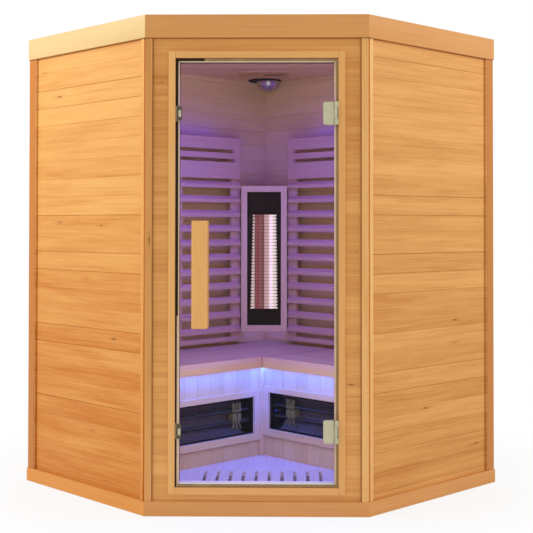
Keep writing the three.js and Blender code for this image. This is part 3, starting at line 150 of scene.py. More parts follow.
# Material graphs
class Graph:
    """A material's node tree, with short ways to add nodes. Inputs take a socket or a constant."""

    def __init__(self, name):
        self.material = bpy.data.materials.new(name)
        self.material.use_nodes = True
        self.tree = self.material.node_tree
        self.tree.nodes.clear()
        self.output = self.node("ShaderNodeOutputMaterial")

    def node(self, kind, **settings):
        node = self.tree.nodes.new(kind)
        for key, value in settings.items():
            setattr(node, key, value)
        return node

    def feed(self, socket, value):
        if isinstance(value, bpy.types.NodeSocket):
            self.tree.links.new(value, socket)
        else:
            socket.default_value = value

    def math(self, operation, *values, clamp=False):
        node = self.node("ShaderNodeMath", operation=operation, use_clamp=clamp)
        for socket, value in zip(node.inputs, values):
            self.feed(socket, value)
        return node.outputs[0]

    def vector(self, operation, *values):
        node = self.node("ShaderNodeVectorMath", operation=operation)
        for socket, value in zip(node.inputs, values):
            self.feed(socket, value)
        scalar = operation in ("DOT_PRODUCT", "LENGTH", "DISTANCE")
        return node.outputs["Value" if scalar else "Vector"]

    def combine(self, x, y, z):
        node = self.node("ShaderNodeCombineXYZ")
        for socket, value in zip(node.inputs, (x, y, z)):
            self.feed(socket, value)
        return node.outputs[0]

    def split(self, vector):
        node = self.node("ShaderNodeSeparateXYZ")
        self.feed(node.inputs[0], vector)
        return node.outputs

    def mix(self, factor, first, second, blend="MIX"):
        node = self.node("ShaderNodeMix", data_type="RGBA", blend_type=blend)
        self.feed(node.inputs["Factor"], factor)
        self.feed(node.inputs[6], first)
        self.feed(node.inputs[7], second)
        return node.outputs[2]

    def choose(self, factor, first, second):
        """A number: first where factor is 0, second where it is 1."""
        node = self.node("ShaderNodeMix", data_type="FLOAT")
        self.feed(node.inputs["Factor"], factor)
        self.feed(node.inputs[2], first)
        self.feed(node.inputs[3], second)
        return node.outputs[0]

    def between(self, value, low, high, to_low=0.0, to_high=1.0):
        node = self.node("ShaderNodeMapRange", interpolation_type="SMOOTHSTEP")
        for socket, number in zip(node.inputs, (value, low, high, to_low, to_high)):
            self.feed(socket, number)
        return node.outputs[0]

    def ramp(self, value, stops):
        """A colour that runs through (place, colour) stops, for places from 0 to 1."""
        node = self.node("ShaderNodeValToRGB")
        self.feed(node.inputs[0], value)
        elements = node.color_ramp.elements
        for element, (at, colour) in zip(elements, stops[:2]):
            element.position, element.color = at, colour
        for at, colour in stops[2:]:
            elements.new(at).color = colour
        return node.outputs[0]

    def noise(self, vector, scale=1.0, detail=2.0, roughness=0.5, distortion=0.0):
        node = self.node("ShaderNodeTexNoise")
        self.feed(node.inputs["Vector"], vector)
        node.inputs["Scale"].default_value = scale
        node.inputs["Detail"].default_value = detail
        node.inputs["Roughness"].default_value = roughness
        node.inputs["Distortion"].default_value = distortion
        return node.outputs[0]

    def random(self, vector):
        """Three fixed random numbers for each place."""
        node = self.node("ShaderNodeTexWhiteNoise", noise_dimensions="3D")
        self.feed(node.inputs["Vector"], vector)
        return self.split(node.outputs["Color"])

    def cells(self, vector):
        """Distance to the nearest point scattered over a plane, and that point's random numbers."""
        node = self.node("ShaderNodeTexVoronoi", feature="F1", voronoi_dimensions="2D")
        self.feed(node.inputs["Vector"], vector)
        node.inputs["Scale"].default_value = 1
        return node.outputs["Distance"], self.split(node.outputs["Color"])

    def bump(self, height, depth, strength=1.0):
        node = self.node("ShaderNodeBump")
        node.inputs["Strength"].default_value = strength
        node.inputs["Distance"].default_value = depth
        self.feed(node.inputs["Height"], height)
        return node.outputs[0]

    def surface(self, **sockets):
        shader = self.node("ShaderNodeBsdfPrincipled")
        for name, value in sockets.items():
            self.feed(shader.inputs[name.replace("_", " ")], value)
        self.tree.links.new(shader.outputs[0], self.output.inputs["Surface"])
        return self.material


def place(graph):
    """Position and normal in the piece's own axes."""
    source = graph.node("ShaderNodeTexCoord")
    return source.outputs["Object"], source.outputs["Normal"]


# Wood
def grain_places(graph, flat_angle, upright):
    """Lengths along and across the grain, for a board on any upright or level face.

    Grain is level on upright faces, or runs up them if upright is 1. On level faces it runs at flat_angle.
    """
    position, normal = place(graph)
    _, _, z = graph.split(position)
    nx, ny, nz = graph.split(normal)
    sideways = graph.vector("NORMALIZE", graph.combine(ny, graph.math("MULTIPLY", nx, -1), 0))
    along_wall = graph.vector("DOT_PRODUCT", position, sideways)
    cos, sin = math.cos(flat_angle), math.sin(flat_angle)
    along_flat = graph.vector("DOT_PRODUCT", position, (cos, sin, 0))
    across_flat = graph.vector("DOT_PRODUCT", position, (-sin, cos, 0))
    flat = graph.math("GREATER_THAN", graph.math("ABSOLUTE", nz), 0.8)
    along = graph.choose(flat, z if upright else along_wall, along_flat)
    across = graph.choose(flat, along_wall if upright else z, across_flat)
    return along, across


def wood_surface(graph, along, across, board, tones, contrast=1.0, tone_spread=0.3, gloss=0.42, knots=0.0,
                 figure=0.0, lines=(), painted_shade_shift=0.0):
    """Straight-grained softwood between two tones. Board is a number that is the same all over one board.

    The tone shift is painted shade: it moves the tone at a place, and up makes it darker. Figure is the strength of the
    deeper flames in the grain.
    Lines are (share, colour) pairs laid over the wood, such as dark board joints, pale joints painted light, and
    painted shade.
    """
    pale, dark = tones
    identity = graph.node("ShaderNodeObjectInfo").outputs["Random"]
    chance = graph.random(graph.combine(board, graph.math("MULTIPLY", identity, 91.7), 0.5))
    along = graph.math("ADD", along, graph.math("MULTIPLY", chance[0], 17.3))
    across = graph.math("ADD", across, graph.math("MULTIPLY", chance[1], 5.9))

    def stretched(along_scale, across_scale, **settings):
        long_way = graph.math("MULTIPLY", along, along_scale)
        cross_way = graph.math("MULTIPLY", across, across_scale)
        return graph.noise(graph.combine(long_way, cross_way, chance[2]), **settings)

    wander = stretched(1.3, 6.0, detail=1.0)
    clouds = stretched(1.7, 13.0, detail=2.0)
    streaks = stretched(2.6, 85.0, detail=3.0, roughness=0.6)
    fibres = stretched(22.0, 850.0, detail=2.0)
    rings = graph.math("SINE", graph.math("ADD", graph.math("MULTIPLY", across, 520.0),
                                         graph.math("MULTIPLY", wander, 46.0)))
    late_wood = graph.between(rings, 0.2, 1.0)

    tone = graph.math("MULTIPLY", graph.math("SUBTRACT", clouds, 0.5), 1.1 * contrast)
    tone = graph.math("MULTIPLY_ADD", graph.math("SUBTRACT", streaks, 0.5), 1.5 * contrast, tone)
    tone = graph.math("MULTIPLY_ADD", graph.math("SUBTRACT", fibres, 0.5), 0.5 * contrast, tone)
    tone = graph.math("MULTIPLY_ADD", late_wood, 0.16 * contrast, tone)
    tone = graph.math("MULTIPLY_ADD", graph.math("SUBTRACT", chance[2], 0.5), tone_spread, tone)
    if figure:
        flames = stretched(2.4, 26.0, detail=4.0, roughness=0.6)
        tone = graph.math("MULTIPLY_ADD", graph.between(flames, 0.38, 0.72, -0.4, 0.6), figure, tone)
    tone = graph.math("ADD", tone, painted_shade_shift)
    tone = graph.math("ADD", tone, 0.44, clamp=True)
    colour = graph.mix(tone, pale, dark)

    if knots:
        spot, spot_chance = graph.cells(graph.combine(graph.math("MULTIPLY", along, 3.1),
                                                      graph.math("MULTIPLY", across, 15.0), board))
        rare = graph.math("LESS_THAN", spot_chance[0], knots)
        size = graph.math("MULTIPLY_ADD", spot_chance[1], 0.05, 0.025)
        heart = graph.math("MULTIPLY", graph.between(spot, graph.math("MULTIPLY", size, 0.3), size, 1.0, 0.0), rare)
        halo = graph.math("MULTIPLY", graph.between(spot, 0.03, 0.2, 0.35, 0.0), rare)
        colour = graph.mix(halo, colour, dark)
        colour = graph.mix(graph.math("MULTIPLY", heart, 0.8), colour, KNOT_BROWN)
    for share, line_colour in lines:
        colour = graph.mix(share, colour, line_colour)

    roughness = graph.math("MULTIPLY_ADD", streaks, 0.16, gloss)
    height = graph.math("ADD", graph.math("MULTIPLY", fibres, 0.6), graph.math("MULTIPLY", late_wood, 0.4))
    normal = graph.bump(height, 0.0003, strength=0.5)
    return graph.surface(Base_Color=colour, Roughness=roughness, Normal=normal, Specular_IOR_Level=0.3)


def board_number(graph, across, first, pitch):
    return graph.math("FLOOR", graph.math("DIVIDE", graph.math("SUBTRACT", across, first), pitch))


def joint_line(graph, across, first, pitch, width):
    """1 in the middle of each board joint, 0 at its edges."""
    share = graph.math("FRACT", graph.math("DIVIDE", graph.math("SUBTRACT", across, first), pitch))
    off = graph.math("MULTIPLY", graph.math("PINGPONG", share, 0.5), pitch)
    return graph.between(off, 0.0, width, 1.0, 0.0)


def wall_wood(name, node, along, first_trim, last_trim, tones, trim_tones, joint_depth, painted_height_shade, **looks):
    """Level boards between two upright trims, with painted shade that shifts their tone with height. Along is the
    wall's direction in plan.

    Trim_tones are those of the first and of the last trim. Painted shade darkens the boards beside the trims and under
    the fascia.
    """
    graph = Graph(name)
    direction = Vector(along).normalized()
    reach = [direction.dot(vertex.co) for vertex in nodes[node].data.vertices]
    first_edge, last_edge = min(reach) + first_trim, max(reach) - last_trim
    position, _ = place(graph)
    run = graph.vector("DOT_PRODUCT", position, tuple(direction))
    _, _, height = graph.split(position)
    in_first = graph.math("LESS_THAN", run, first_edge)
    in_last = graph.math("GREATER_THAN", run, last_edge)
    in_trim = graph.math("ADD", in_first, in_last)
    on_boards = graph.math("SUBTRACT", 1.0, in_trim)
    grain = graph.choose(in_trim, run, height)
    cross = graph.choose(in_trim, height, run)
    level_board = board_number(graph, height, WALL_FIRST_JOINT, BOARD_PITCH)
    trim_board = graph.math("MULTIPLY_ADD", in_last, 3.0, 50.0)
    board = graph.choose(in_trim, level_board, trim_board)

    joint = board_number(graph, height, WALL_FIRST_JOINT - BOARD_PITCH / 2, BOARD_PITCH)
    dark_joint_chance = graph.random(graph.combine(joint, 0.37, first_trim))[0]
    line = graph.math("MULTIPLY", joint_line(graph, height, WALL_FIRST_JOINT, BOARD_PITCH, 0.0024), on_boards)
    # Some joints are brown; the rest are pale, painted light that hides the shade in their grooves.
    joint_tone = graph.mix(graph.between(dark_joint_chance, 0.3, 0.9), JOINT_PAINTED_LIGHT, JOINT_AND_SHADE_BROWN)
    # Painted shade: a dark band just under the fascia and beside each trim, where shadow falls.
    shade = graph.between(height, FASCIA_BOTTOM - 0.006, FASCIA_BOTTOM - 0.001, 0.0, EDGE_SHADE)
    for edge, inward in ((first_edge, 1), (last_edge, -1)):
        off = graph.math("MULTIPLY", graph.math("SUBTRACT", run, edge), inward)
        beside = graph.math("MULTIPLY", graph.between(off, 0.002, 0.006, EDGE_SHADE, 0.0), on_boards)
        shade = graph.math("MAXIMUM", shade, beside)
    lines = [(graph.math("MULTIPLY", line, joint_depth), joint_tone), (shade, JOINT_AND_SHADE_BROWN)]
    # Painted shade by height: above 0 the boards are darker lower down, below 0 they are paler lower down.
    painted_shade_shift = graph.math("MULTIPLY", graph.math("SUBTRACT", 1.0, height), painted_height_shade)
    shades = []
    for tone, first_tone, last_tone in zip(tones, *trim_tones):
        shades.append(graph.mix(in_last, graph.mix(in_first, tone, first_tone), last_tone))
    return wood_surface(graph, grain, cross, board, shades, lines=lines, painted_shade_shift=painted_shade_shift, **looks)


def height_tones(*stops):
    """Wood tones that change with height, as (level, tones) stops from low to high."""
    def blended(graph):
        _, _, height = graph.split(place(graph)[0])
        mixed = stops[0][1]
        for (low, _), (high, tones) in zip(stops, stops[1:]):
            share = graph.between(height, low, high)
            mixed = [graph.mix(share, before, after) for before, after in zip(mixed, tones)]
        return mixed
    return blended


def plain_wood(name, tones, flat_angle=0.0, upright=False, first=0.0, pitch=None, joint_depth=0.0,
               joint_colour=None, butt=None, butt_width=0.004, **looks):
    """Wood for pieces whose boards all run one way. With a pitch, each board has its own grain.

    Butt is the place along the grain where the boards meet a neighbour, with a dull line at their ends.
    """
    graph = Graph(name)
    along, across = grain_places(graph, flat_angle, upright)
    if callable(tones):
        tones = tones(graph)
    lines = []
    board = 0.0
    if pitch:
        board = board_number(graph, across, first, pitch)
        shade = graph.math("MULTIPLY", joint_line(graph, across, first, pitch, 0.0024), joint_depth)
        lines.append((shade, joint_colour))
    if butt is not None:
        run = graph.vector("DOT_PRODUCT", place(graph)[0], (math.cos(flat_angle), math.sin(flat_angle), 0))
        lines.append((graph.between(run, butt + 0.5 * butt_width, butt + butt_width, 0.5, 0.0), JOINT_AND_SHADE_BROWN))
    return wood_surface(graph, along, across, board, tones, lines=lines, **looks)


def jamb_wood(name, tones, stop_light, inner_edge_shade, **looks):
    """Door frame wood, with painted light on the faces of the stop behind the glass. The stop's inner edge has a colour
    of its own: painted shade on the jambs and head, a painted highlight on the sill.
    """
    graph = Graph(name)
    along, across = grain_places(graph, 0.0, looks.pop("upright", False))
    position, normal = place(graph)
    _, depth, _ = graph.split(position)
    _, depth_normal, _ = graph.split(normal)
    on_stop = graph.math("GREATER_THAN", depth, STOP_FACE - 0.001)
    on_face = graph.math("GREATER_THAN", graph.math("ABSOLUTE", depth_normal), 0.3)
    stop = graph.mix(on_face, inner_edge_shade, stop_light)
    pale = graph.mix(on_stop, tones[0], stop)
    dark = graph.mix(on_stop, tones[1], stop)
    return wood_surface(graph, along, across, 0.0, (pale, dark), **looks)


def fascia_wood(name, tones, painted_light_tones, **looks):
    """Level boards round the cabin. The board that faces left front has tones of its own, painted light for the
    stronger light on that side.
    """
    graph = Graph(name)
    along, across = grain_places(graph, 0.0, False)
    _, normal = place(graph)
    leftness = graph.vector("DOT_PRODUCT", normal, (-ROOT_HALF, -ROOT_HALF, 0))
    on_left = graph.math("GREATER_THAN", leftness, 0.9)
    pale = graph.mix(on_left, tones[0], painted_light_tones[0])
    dark = graph.mix(on_left, tones[1], painted_light_tones[1])
    return wood_surface(graph, along, across, on_left, (pale, dark), **looks)


# Other finishes
def satin_steel(name, colour, roughness):
    graph = Graph(name)
    position, _ = place(graph)
    brushed = graph.noise(graph.vector("MULTIPLY", position, (90.0, 90.0, 2600.0)), detail=2.0)
    cloudy = graph.noise(position, scale=40.0, detail=3.0)
    tone = graph.between(cloudy, 0.3, 0.7, 0.0, 0.25)
    shade = tuple(0.72 * part for part in colour[:3]) + (1,)
    rough = graph.math("MULTIPLY_ADD", brushed, 0.18, roughness)
    return graph.surface(Base_Color=graph.mix(tone, colour, shade), Metallic=0.85, Roughness=rough,
                         Normal=graph.bump(brushed, 0.00005, strength=0.3))


def fine_coat(name, colour, roughness, grain=900.0):
    """Powder coat, moulded plastic, rubber or fired clay: a fine grain with a trace of dust."""
    graph = Graph(name)
    position, _ = place(graph)
    speckle = graph.noise(position, scale=grain, detail=2.0)
    dust = graph.noise(position, scale=14.0, detail=4.0)
    paler = tuple(min(1.0, 1.5 * part + 0.003) for part in colour[:3]) + (1,)
    tone = graph.between(dust, 0.45, 0.8, 0.0, 0.5)
    rough = graph.math("MULTIPLY_ADD", speckle, 0.2, roughness)
    return graph.surface(Base_Color=graph.mix(tone, colour, paler), Roughness=rough, Specular_IOR_Level=0.3,
                         Normal=graph.bump(speckle, 0.00012, strength=0.5))


def chrome(name):
    graph = Graph(name)
    position, _ = place(graph)
    smear = graph.noise(position, scale=60.0, detail=3.0)
    rough = graph.math("MULTIPLY_ADD", smear, 0.1, 0.26)
    tone = graph.between(smear, 0.3, 0.8)
    return graph.surface(Base_Color=graph.mix(tone, srgb(214, 214, 224), srgb(184, 184, 198)), Metallic=1.0,
                         Roughness=rough)


def door_pane(name):
    """Clear glass seen face on, dark green at its cut edges."""
    graph = Graph(name)
    position, normal = place(graph)
    _, depth_normal, _ = graph.split(normal)
    face = graph.math("GREATER_THAN", graph.math("ABSOLUTE", depth_normal), 0.5)
    haze = graph.noise(position, scale=3.0, detail=3.0)
    alpha = graph.choose(face, 0.9, graph.math("MULTIPLY_ADD", haze, 0.006, 0.002))
    colour = graph.mix(face, srgb(58, 66, 46), srgb(170, 178, 174))
    return graph.surface(Base_Color=colour, Alpha=alpha, Roughness=0.03, Specular_IOR_Level=0.5)


def quartz(name, colour, glow, strength):
    """A frosted tube with its coiled filament showing as fine level rings."""
    graph = Graph(name)
    position, _ = place(graph)
    rings = graph.math("SINE", graph.vector("DOT_PRODUCT", position, (900.0, 900.0, 1300.0)))
    cloudy = graph.noise(position, scale=25.0, detail=2.0)
    tone = graph.math("MULTIPLY_ADD", rings, 0.12, graph.math("MULTIPLY", cloudy, 0.5))
    shade = tuple(0.55 * part for part in colour[:3]) + (1,)
    power = graph.math("MULTIPLY", graph.math("MULTIPLY_ADD", cloudy, 0.4, 0.8), strength)
    return graph.surface(Base_Color=graph.mix(tone, colour, shade), Roughness=0.22, Emission_Color=glow,
                         Emission_Strength=power)


def painted_reflection_reflector(name):
    """Corner heater's polished reflector with painted reflections: a glowing colour across it paints the dark tube's
    reflection on the left and the bright one's on the right.
    """
    graph = Graph(name)
    position, _ = place(graph)
    x, _, z = graph.split(position)
    ripple = graph.noise(graph.vector("MULTIPLY", position, (40.0, 40.0, 500.0)), detail=2.0)
    share = graph.math("DIVIDE", graph.math("ADD", x, MESH_HALF), 2 * MESH_HALF)
    share = graph.math("MULTIPLY_ADD", graph.math("SUBTRACT", ripple, 0.5), 0.05, share)
    # Painted reflections of the tubes, by place across the reflector, given off as glow.
    glow = graph.ramp(share, [
        (0.0, srgb(236, 208, 206)),
        (1.0, srgb(236, 208, 208)),
        (0.11, srgb(226, 190, 190)),
        (0.17, srgb(84, 36, 42)),
        (0.22, srgb(136, 84, 88)),
        (0.42, srgb(140, 88, 92)),
        (0.47, srgb(84, 36, 42)),
        (0.52, srgb(196, 152, 156)),
        (0.72, srgb(222, 188, 190)),
        (0.8, srgb(250, 236, 236)),
    ])
    # The painted glow rises and falls in level rows, at half the pitch of the mesh.
    rows = graph.math("SINE", graph.math("MULTIPLY", z, 2 * math.pi / (MESH_PITCH / 2)))
    power = graph.math("MULTIPLY_ADD", rows, 0.08, 0.8)
    return graph.surface(Base_Color=srgb(60, 52, 54), Metallic=0.6, Roughness=0.4, Emission_Color=glow,
                         Emission_Strength=power)


def led_diffuser(name):
    """Milky strip, brighter at each of the small lights behind it."""
    graph = Graph(name)
    position, _ = place(graph)
    run = graph.math("ADD", graph.vector("DOT_PRODUCT", position, (ROOT_HALF, 0, 0)),
                     graph.vector("DOT_PRODUCT", position, (0, ROOT_HALF, 0)))
    dots = graph.math("SINE", graph.math("MULTIPLY", run, 2 * math.pi / 0.0166))
    power = graph.math("MULTIPLY_ADD", dots, 1.5, 5.0)
    return graph.surface(Base_Color=srgb(214, 226, 255), Roughness=0.4, Emission_Color=srgb(150, 176, 255),
                         Emission_Strength=power)


def pilot_glass(name):
    """A small blue lens, brightest at its middle."""
    graph = Graph(name)
    position, _ = place(graph)
    frost = graph.noise(position, scale=700.0, detail=2.0)
    power = graph.math("MULTIPLY_ADD", frost, 0.2, 0.25)
    return graph.surface(Base_Color=srgb(40, 60, 150), Roughness=0.25, Emission_Color=srgb(40, 80, 230),
                         Emission_Strength=power)


def heating_film(name):
    """Dark film with lengthwise carbon stripes between two copper strips."""
    graph = Graph(name)
    position, _ = place(graph)
    x, y, _ = graph.split(position)
    stripes = graph.between(graph.math("SINE", graph.math("MULTIPLY", x, 2 * math.pi / 0.022)), -0.3, 0.1)
    wear = graph.noise(position, scale=120.0, detail=3.0)
    colour = graph.mix(stripes, srgb(74, 72, 70), srgb(24, 24, 26))
    colour = graph.mix(graph.math("MULTIPLY", wear, 0.3), colour, srgb(52, 50, 50))
    return graph.surface(Base_Color=colour, Roughness=0.35, Normal=graph.bump(stripes, 0.0001, strength=0.4))


def dark_display(name):
    """Touch panel glass with a soft lit field and nothing written on it."""
    graph = Graph(name)
    position, _ = place(graph)
    _, _, z = graph.split(position)
    smudges = graph.noise(position, scale=35.0, detail=3.0)
    field = graph.math("MULTIPLY", graph.between(z, 1.255, 1.262), graph.between(z, 1.296, 1.303, 1.0, 0.0))
    rough = graph.math("MULTIPLY_ADD", smudges, 0.16, 0.06)
    power = graph.math("MULTIPLY", field, 0.35)
    return graph.surface(Base_Color=srgb(16, 17, 20), Roughness=rough, Emission_Color=srgb(120, 170, 255),
                         Emission_Strength=power)


# Strength of the painted shade under the fascia and beside the wall trims.
EDGE_SHADE = 0.75
KNOT_BROWN = srgb(112, 62, 22)
# Brown of the board joints, and of the painted shade under the fascia and beside the trims.
JOINT_AND_SHADE_BROWN = srgb(120, 66, 22)
# Painted light: a pale tone laid in joint grooves to hide the shade that falls in them.
JOINT_PAINTED_LIGHT = srgb(255, 214, 140)
CLADDING = (srgb(238, 175, 98), srgb(200, 128, 52))
# Painted light: the left wall, on the key-lit side, has its own paler, more orange tones.
LEFT_PAINTED_LIGHT_CLADDING = (srgb(244, 180, 98), srgb(210, 126, 40))
FAR_TRIM_BROWN = srgb(200, 128, 60)
TRIM = (srgb(246, 192, 120), srgb(226, 165, 89))
DULL_TRIM = (srgb(226, 163, 90), srgb(192, 124, 54))
DEEP_TRIM = (srgb(240, 181, 108), srgb(216, 153, 79))
FASCIA = (srgb(230, 166, 97), srgb(208, 142, 75))
# Painted light: tones for the left-facing fascia and plinth boards, paler and more orange where more light falls.
PAINTED_LIGHT_FASCIA = (srgb(240, 206, 144), srgb(226, 184, 118))
PAINTED_LIGHT_PLINTH = (srgb(240, 168, 86), srgb(220, 142, 62))
LINING = (srgb(236, 192, 140), srgb(212, 166, 112))
# Painted light on the lining: pink just above the backrests for a glow there, yellow near the ceiling where it fades.
PAINTED_GLOW_LINING = (srgb(236, 192, 168), srgb(212, 166, 135))
YELLOW_LINING = (srgb(242, 206, 116), srgb(218, 178, 93))
HEATER_FRAME = (srgb(240, 198, 166), srgb(222, 176, 138))
# Painted light on the seat edges: orange low down, pink at the top of the rail.
PINK_EDGE = (srgb(234, 180, 164), srgb(214, 158, 134))
ORANGE_EDGE = (srgb(240, 186, 136), srgb(222, 162, 110))
BENCH = (srgb(232, 190, 148), srgb(212, 166, 120))
ROOF_BOARD = (srgb(222, 190, 146), srgb(196, 158, 110))
CABIN_FLOOR = (srgb(236, 208, 184), srgb(214, 180, 154))
SEAT = (srgb(234, 202, 166), srgb(214, 178, 140))
SLATS = (srgb(220, 172, 158), srgb(200, 150, 134))
VENT_WOOD = (srgb(206, 160, 96), srgb(184, 138, 76))
# Painted light on the door stops: cream and white stand for light on the stop, and a dark brown for the shade on its
# inner edge.
STOP_PAINTED_LIGHT = srgb(252, 220, 184)
STOP_PAINTED_HIGHLIGHT = srgb(255, 248, 236)
STOP_PAINTED_SHADE = srgb(96, 78, 60)

steel = satin_steel("satin_steel", srgb(196, 190, 160), 0.38)
dark_sheet = satin_steel("dark_reflector", srgb(146, 130, 118), 0.47)
black_steel = fine_coat("black_steel", srgb(37, 28, 8), 0.6)
black_plastic = fine_coat("black_plastic", srgb(34, 34, 37), 0.45)
tan_rubber = fine_coat("tan_rubber", srgb(190, 164, 120), 0.6)
# Painted shade: this black rubber stands for the shade in the gap at the left of the glass.
painted_shade_rubber = fine_coat("painted_shade_rubber", srgb(46, 36, 16), 0.6)
cream_plastic = fine_coat("cream_plastic", srgb(206, 176, 128), 0.5)
dark_steel = satin_steel("dark_steel", srgb(96, 88, 70), 0.45)
ceramic = fine_coat("ceramic", srgb(150, 132, 84), 0.55, grain=500.0)
lamp_chrome = chrome("lamp_chrome")
pull_wood = plain_wood("pull_wood", TRIM, upright=True, contrast=0.5)


# Mesh building. A shape is a bmesh that is joined, moved and at last turned into a piece.
CORNER_STEPS = 6
EASE_STEPS = 3
SHARP_ANGLE = math.radians(38)


def rounded(left, right, low, high, left_radius, right_radius):
    """A rectangle's outline with round corners."""
    corners = [(right, low, right_radius, -90), (right, high, right_radius, 0),
               (left, high, left_radius, 90), (left, low, left_radius, 180)]
    points = []
    for x, z, radius, start in corners:
        centre_x = x - radius if x == right else x + radius
        centre_z = z - radius if z == high else z + radius
        for step in range(CORNER_STEPS + 1 if radius else 1):
            angle = math.radians(start + 90 * step / CORNER_STEPS)
            points.append((centre_x + radius * math.cos(angle), centre_z + radius * math.sin(angle)))
    return points


def rectangle(left, right, low, high):
    return [(left, low), (right, low), (right, high), (left, high)]


def pierced(outer, holes, near, far, ease=0.0):
    """A plate from y = near to y = far, from outlines in x and z, with its outer edges eased."""
    shape = bmesh.new()
    loops = [outer, *holes]
    points = [point for loop in loops for point in loop]
    front = [shape.verts.new((x, near, z)) for x, z in points]
    back = [shape.verts.new((x, far, z)) for x, z in points]
    if holes:
        triangles = tessellate_polygon([[Vector((x, z, 0)) for x, z in loop] for loop in loops])
    else:
        triangles = [range(len(points))]
    for corners in triangles:
        shape.faces.new([front[i] for i in corners])
        shape.faces.new([back[i] for i in reversed(corners)])
    start = 0
    for loop in loops:
        for i in range(len(loop)):
            this, after = start + i, start + (i + 1) % len(loop)
            shape.faces.new((front[this], front[after], back[after], back[this]))
        start += len(loop)
    bmesh.ops.recalc_face_normals(shape, faces=shape.faces)
    if ease:
        rims = [edge for edge in shape.edges if edge.calc_face_angle(0) > SHARP_ANGLE]
        bmesh.ops.bevel(shape, geom=rims, offset=ease, segments=EASE_STEPS, profile=0.5, affect="EDGES")
    return shape


def plate(outline, near, far, ease=0.0):
    return pierced(outline, [], near, far, ease)


def block(left, right, near, far, low, high, ease):
    return plate(rectangle(left, right, low, high), near, far, ease)


def lathe(profile, steps=36, ring=False):
    """A solid turned about the upright axis from (radius, height) points, or a ring of them."""
    shape = bmesh.new()
    turns = []
    for radius, height in profile:
        count = steps if radius else 1
        angles = [2 * math.pi * i / steps for i in range(count)]
        turns.append([shape.verts.new((radius * math.cos(a), radius * math.sin(a), height)) for a in angles])
    if ring:
        turns.append(turns[0])
    for lower, upper in zip(turns, turns[1:]):
        for i in range(steps):
            corners = [lower[i % len(lower)], lower[(i + 1) % steps % len(lower)],
                       upper[(i + 1) % steps % len(upper)], upper[i % len(upper)]]
            shape.faces.new(list(dict.fromkeys(corners)))
    bmesh.ops.recalc_face_normals(shape, faces=shape.faces)
    return shape


def moved(shape, matrix):
    bmesh.ops.transform(shape, matrix=matrix, verts=shape.verts)
    return shape


def shifted(shape, x, y, z):
    return moved(shape, Matrix.Translation((x, y, z)))


def rod(start, end, radius, sides=8):
    """A round bar with slightly chamfered ends."""
    start, end = Vector(start), Vector(end)
    length = (end - start).length
    edge = radius * 0.25
    bar = lathe([(0, 0), (radius - edge, 0), (radius, edge), (radius, length - edge), (radius - edge, length),
                 (0, length)], sides)
    turn = (end - start).to_track_quat("Z", "Y").to_matrix().to_4x4()
    return moved(bar, Matrix.Translation(start) @ turn)


def joined(shapes):
    whole = bmesh.new()
    for shape in shapes:
        mesh = bpy.data.meshes.new("joined")
        shape.to_mesh(mesh)
        shape.free()
        whole.from_mesh(mesh)
        bpy.data.meshes.remove(mesh)
    return whole


def piece(name, shape, material, body, slot, *replaced):
    """Turn a shape into a piece that moves with a body, and stands for CAD nodes if any are named."""
    bmesh.ops.recalc_face_normals(shape, faces=shape.faces)
    mesh = bpy.data.meshes.new(name)
    shape.to_mesh(mesh)
    shape.free()
    mesh.shade_smooth()
    mesh.set_sharp_from_angle(angle=SHARP_ANGLE)
    mesh.materials.append(material)
    made = bpy.data.objects.new(name, mesh)
    bpy.context.scene.collection.objects.link(made)
    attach(made, body)
    if replaced:
        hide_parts(*replaced)
    return made


# Door pulls: a wooden plate on each side of the glass, on steel posts
def make_pull(side, near, glass_face):
    middle = (PULL_LEFT + PULL_RIGHT) / 2
    outline = rounded(PULL_LEFT, PULL_RIGHT, PULL_LOW, PULL_HIGH, 0.003, 0.003)
    wood = plate(outline, near, near + PULL_THICK, ease=0.002)
    piece(f"pull_{side}", wood, pull_wood, "door", "trim_wood", f"door_handle_{side}")
    inward = 1 if glass_face > near else -1
    wood_face = near + PULL_THICK if inward > 0 else near
    reach = abs(glass_face - wood_face) - FIT
    profile = [(0, 0), (0.012, 0), (0.012, 0.0015), (0.009, 0.003), (0.009, reach - 0.004), (0.0115, reach - 0.0025),
               (0.0115, reach), (0, reach)]
    turn = Matrix.Rotation(-inward * math.pi / 2, 4, "X")
    posts = [shifted(moved(lathe(profile), turn), middle, wood_face, level) for level in PULL_BOLTS]
    if side == "outer":
        posts += [rod((middle, glass_face, z), (middle, GLASS_BACK, z), 0.004, 16) for z in PULL_BOLTS]
    piece(f"pull_{side}_posts", joined(posts), steel, "door", "satin_steel")


# Hinges: a clamp on the glass, a leaf on the jamb, and a pin through both
def barrel(low, high):
    edge = 0.0008
    outer = KNUCKLE_RADIUS
    profile = [(PIN_BORE, low), (outer - edge, low), (outer, low + edge), (outer, high - edge), (outer - edge, high),
               (PIN_BORE, high)]
    return shifted(lathe(profile, ring=True), HINGE_X, HINGE_Y, 0)


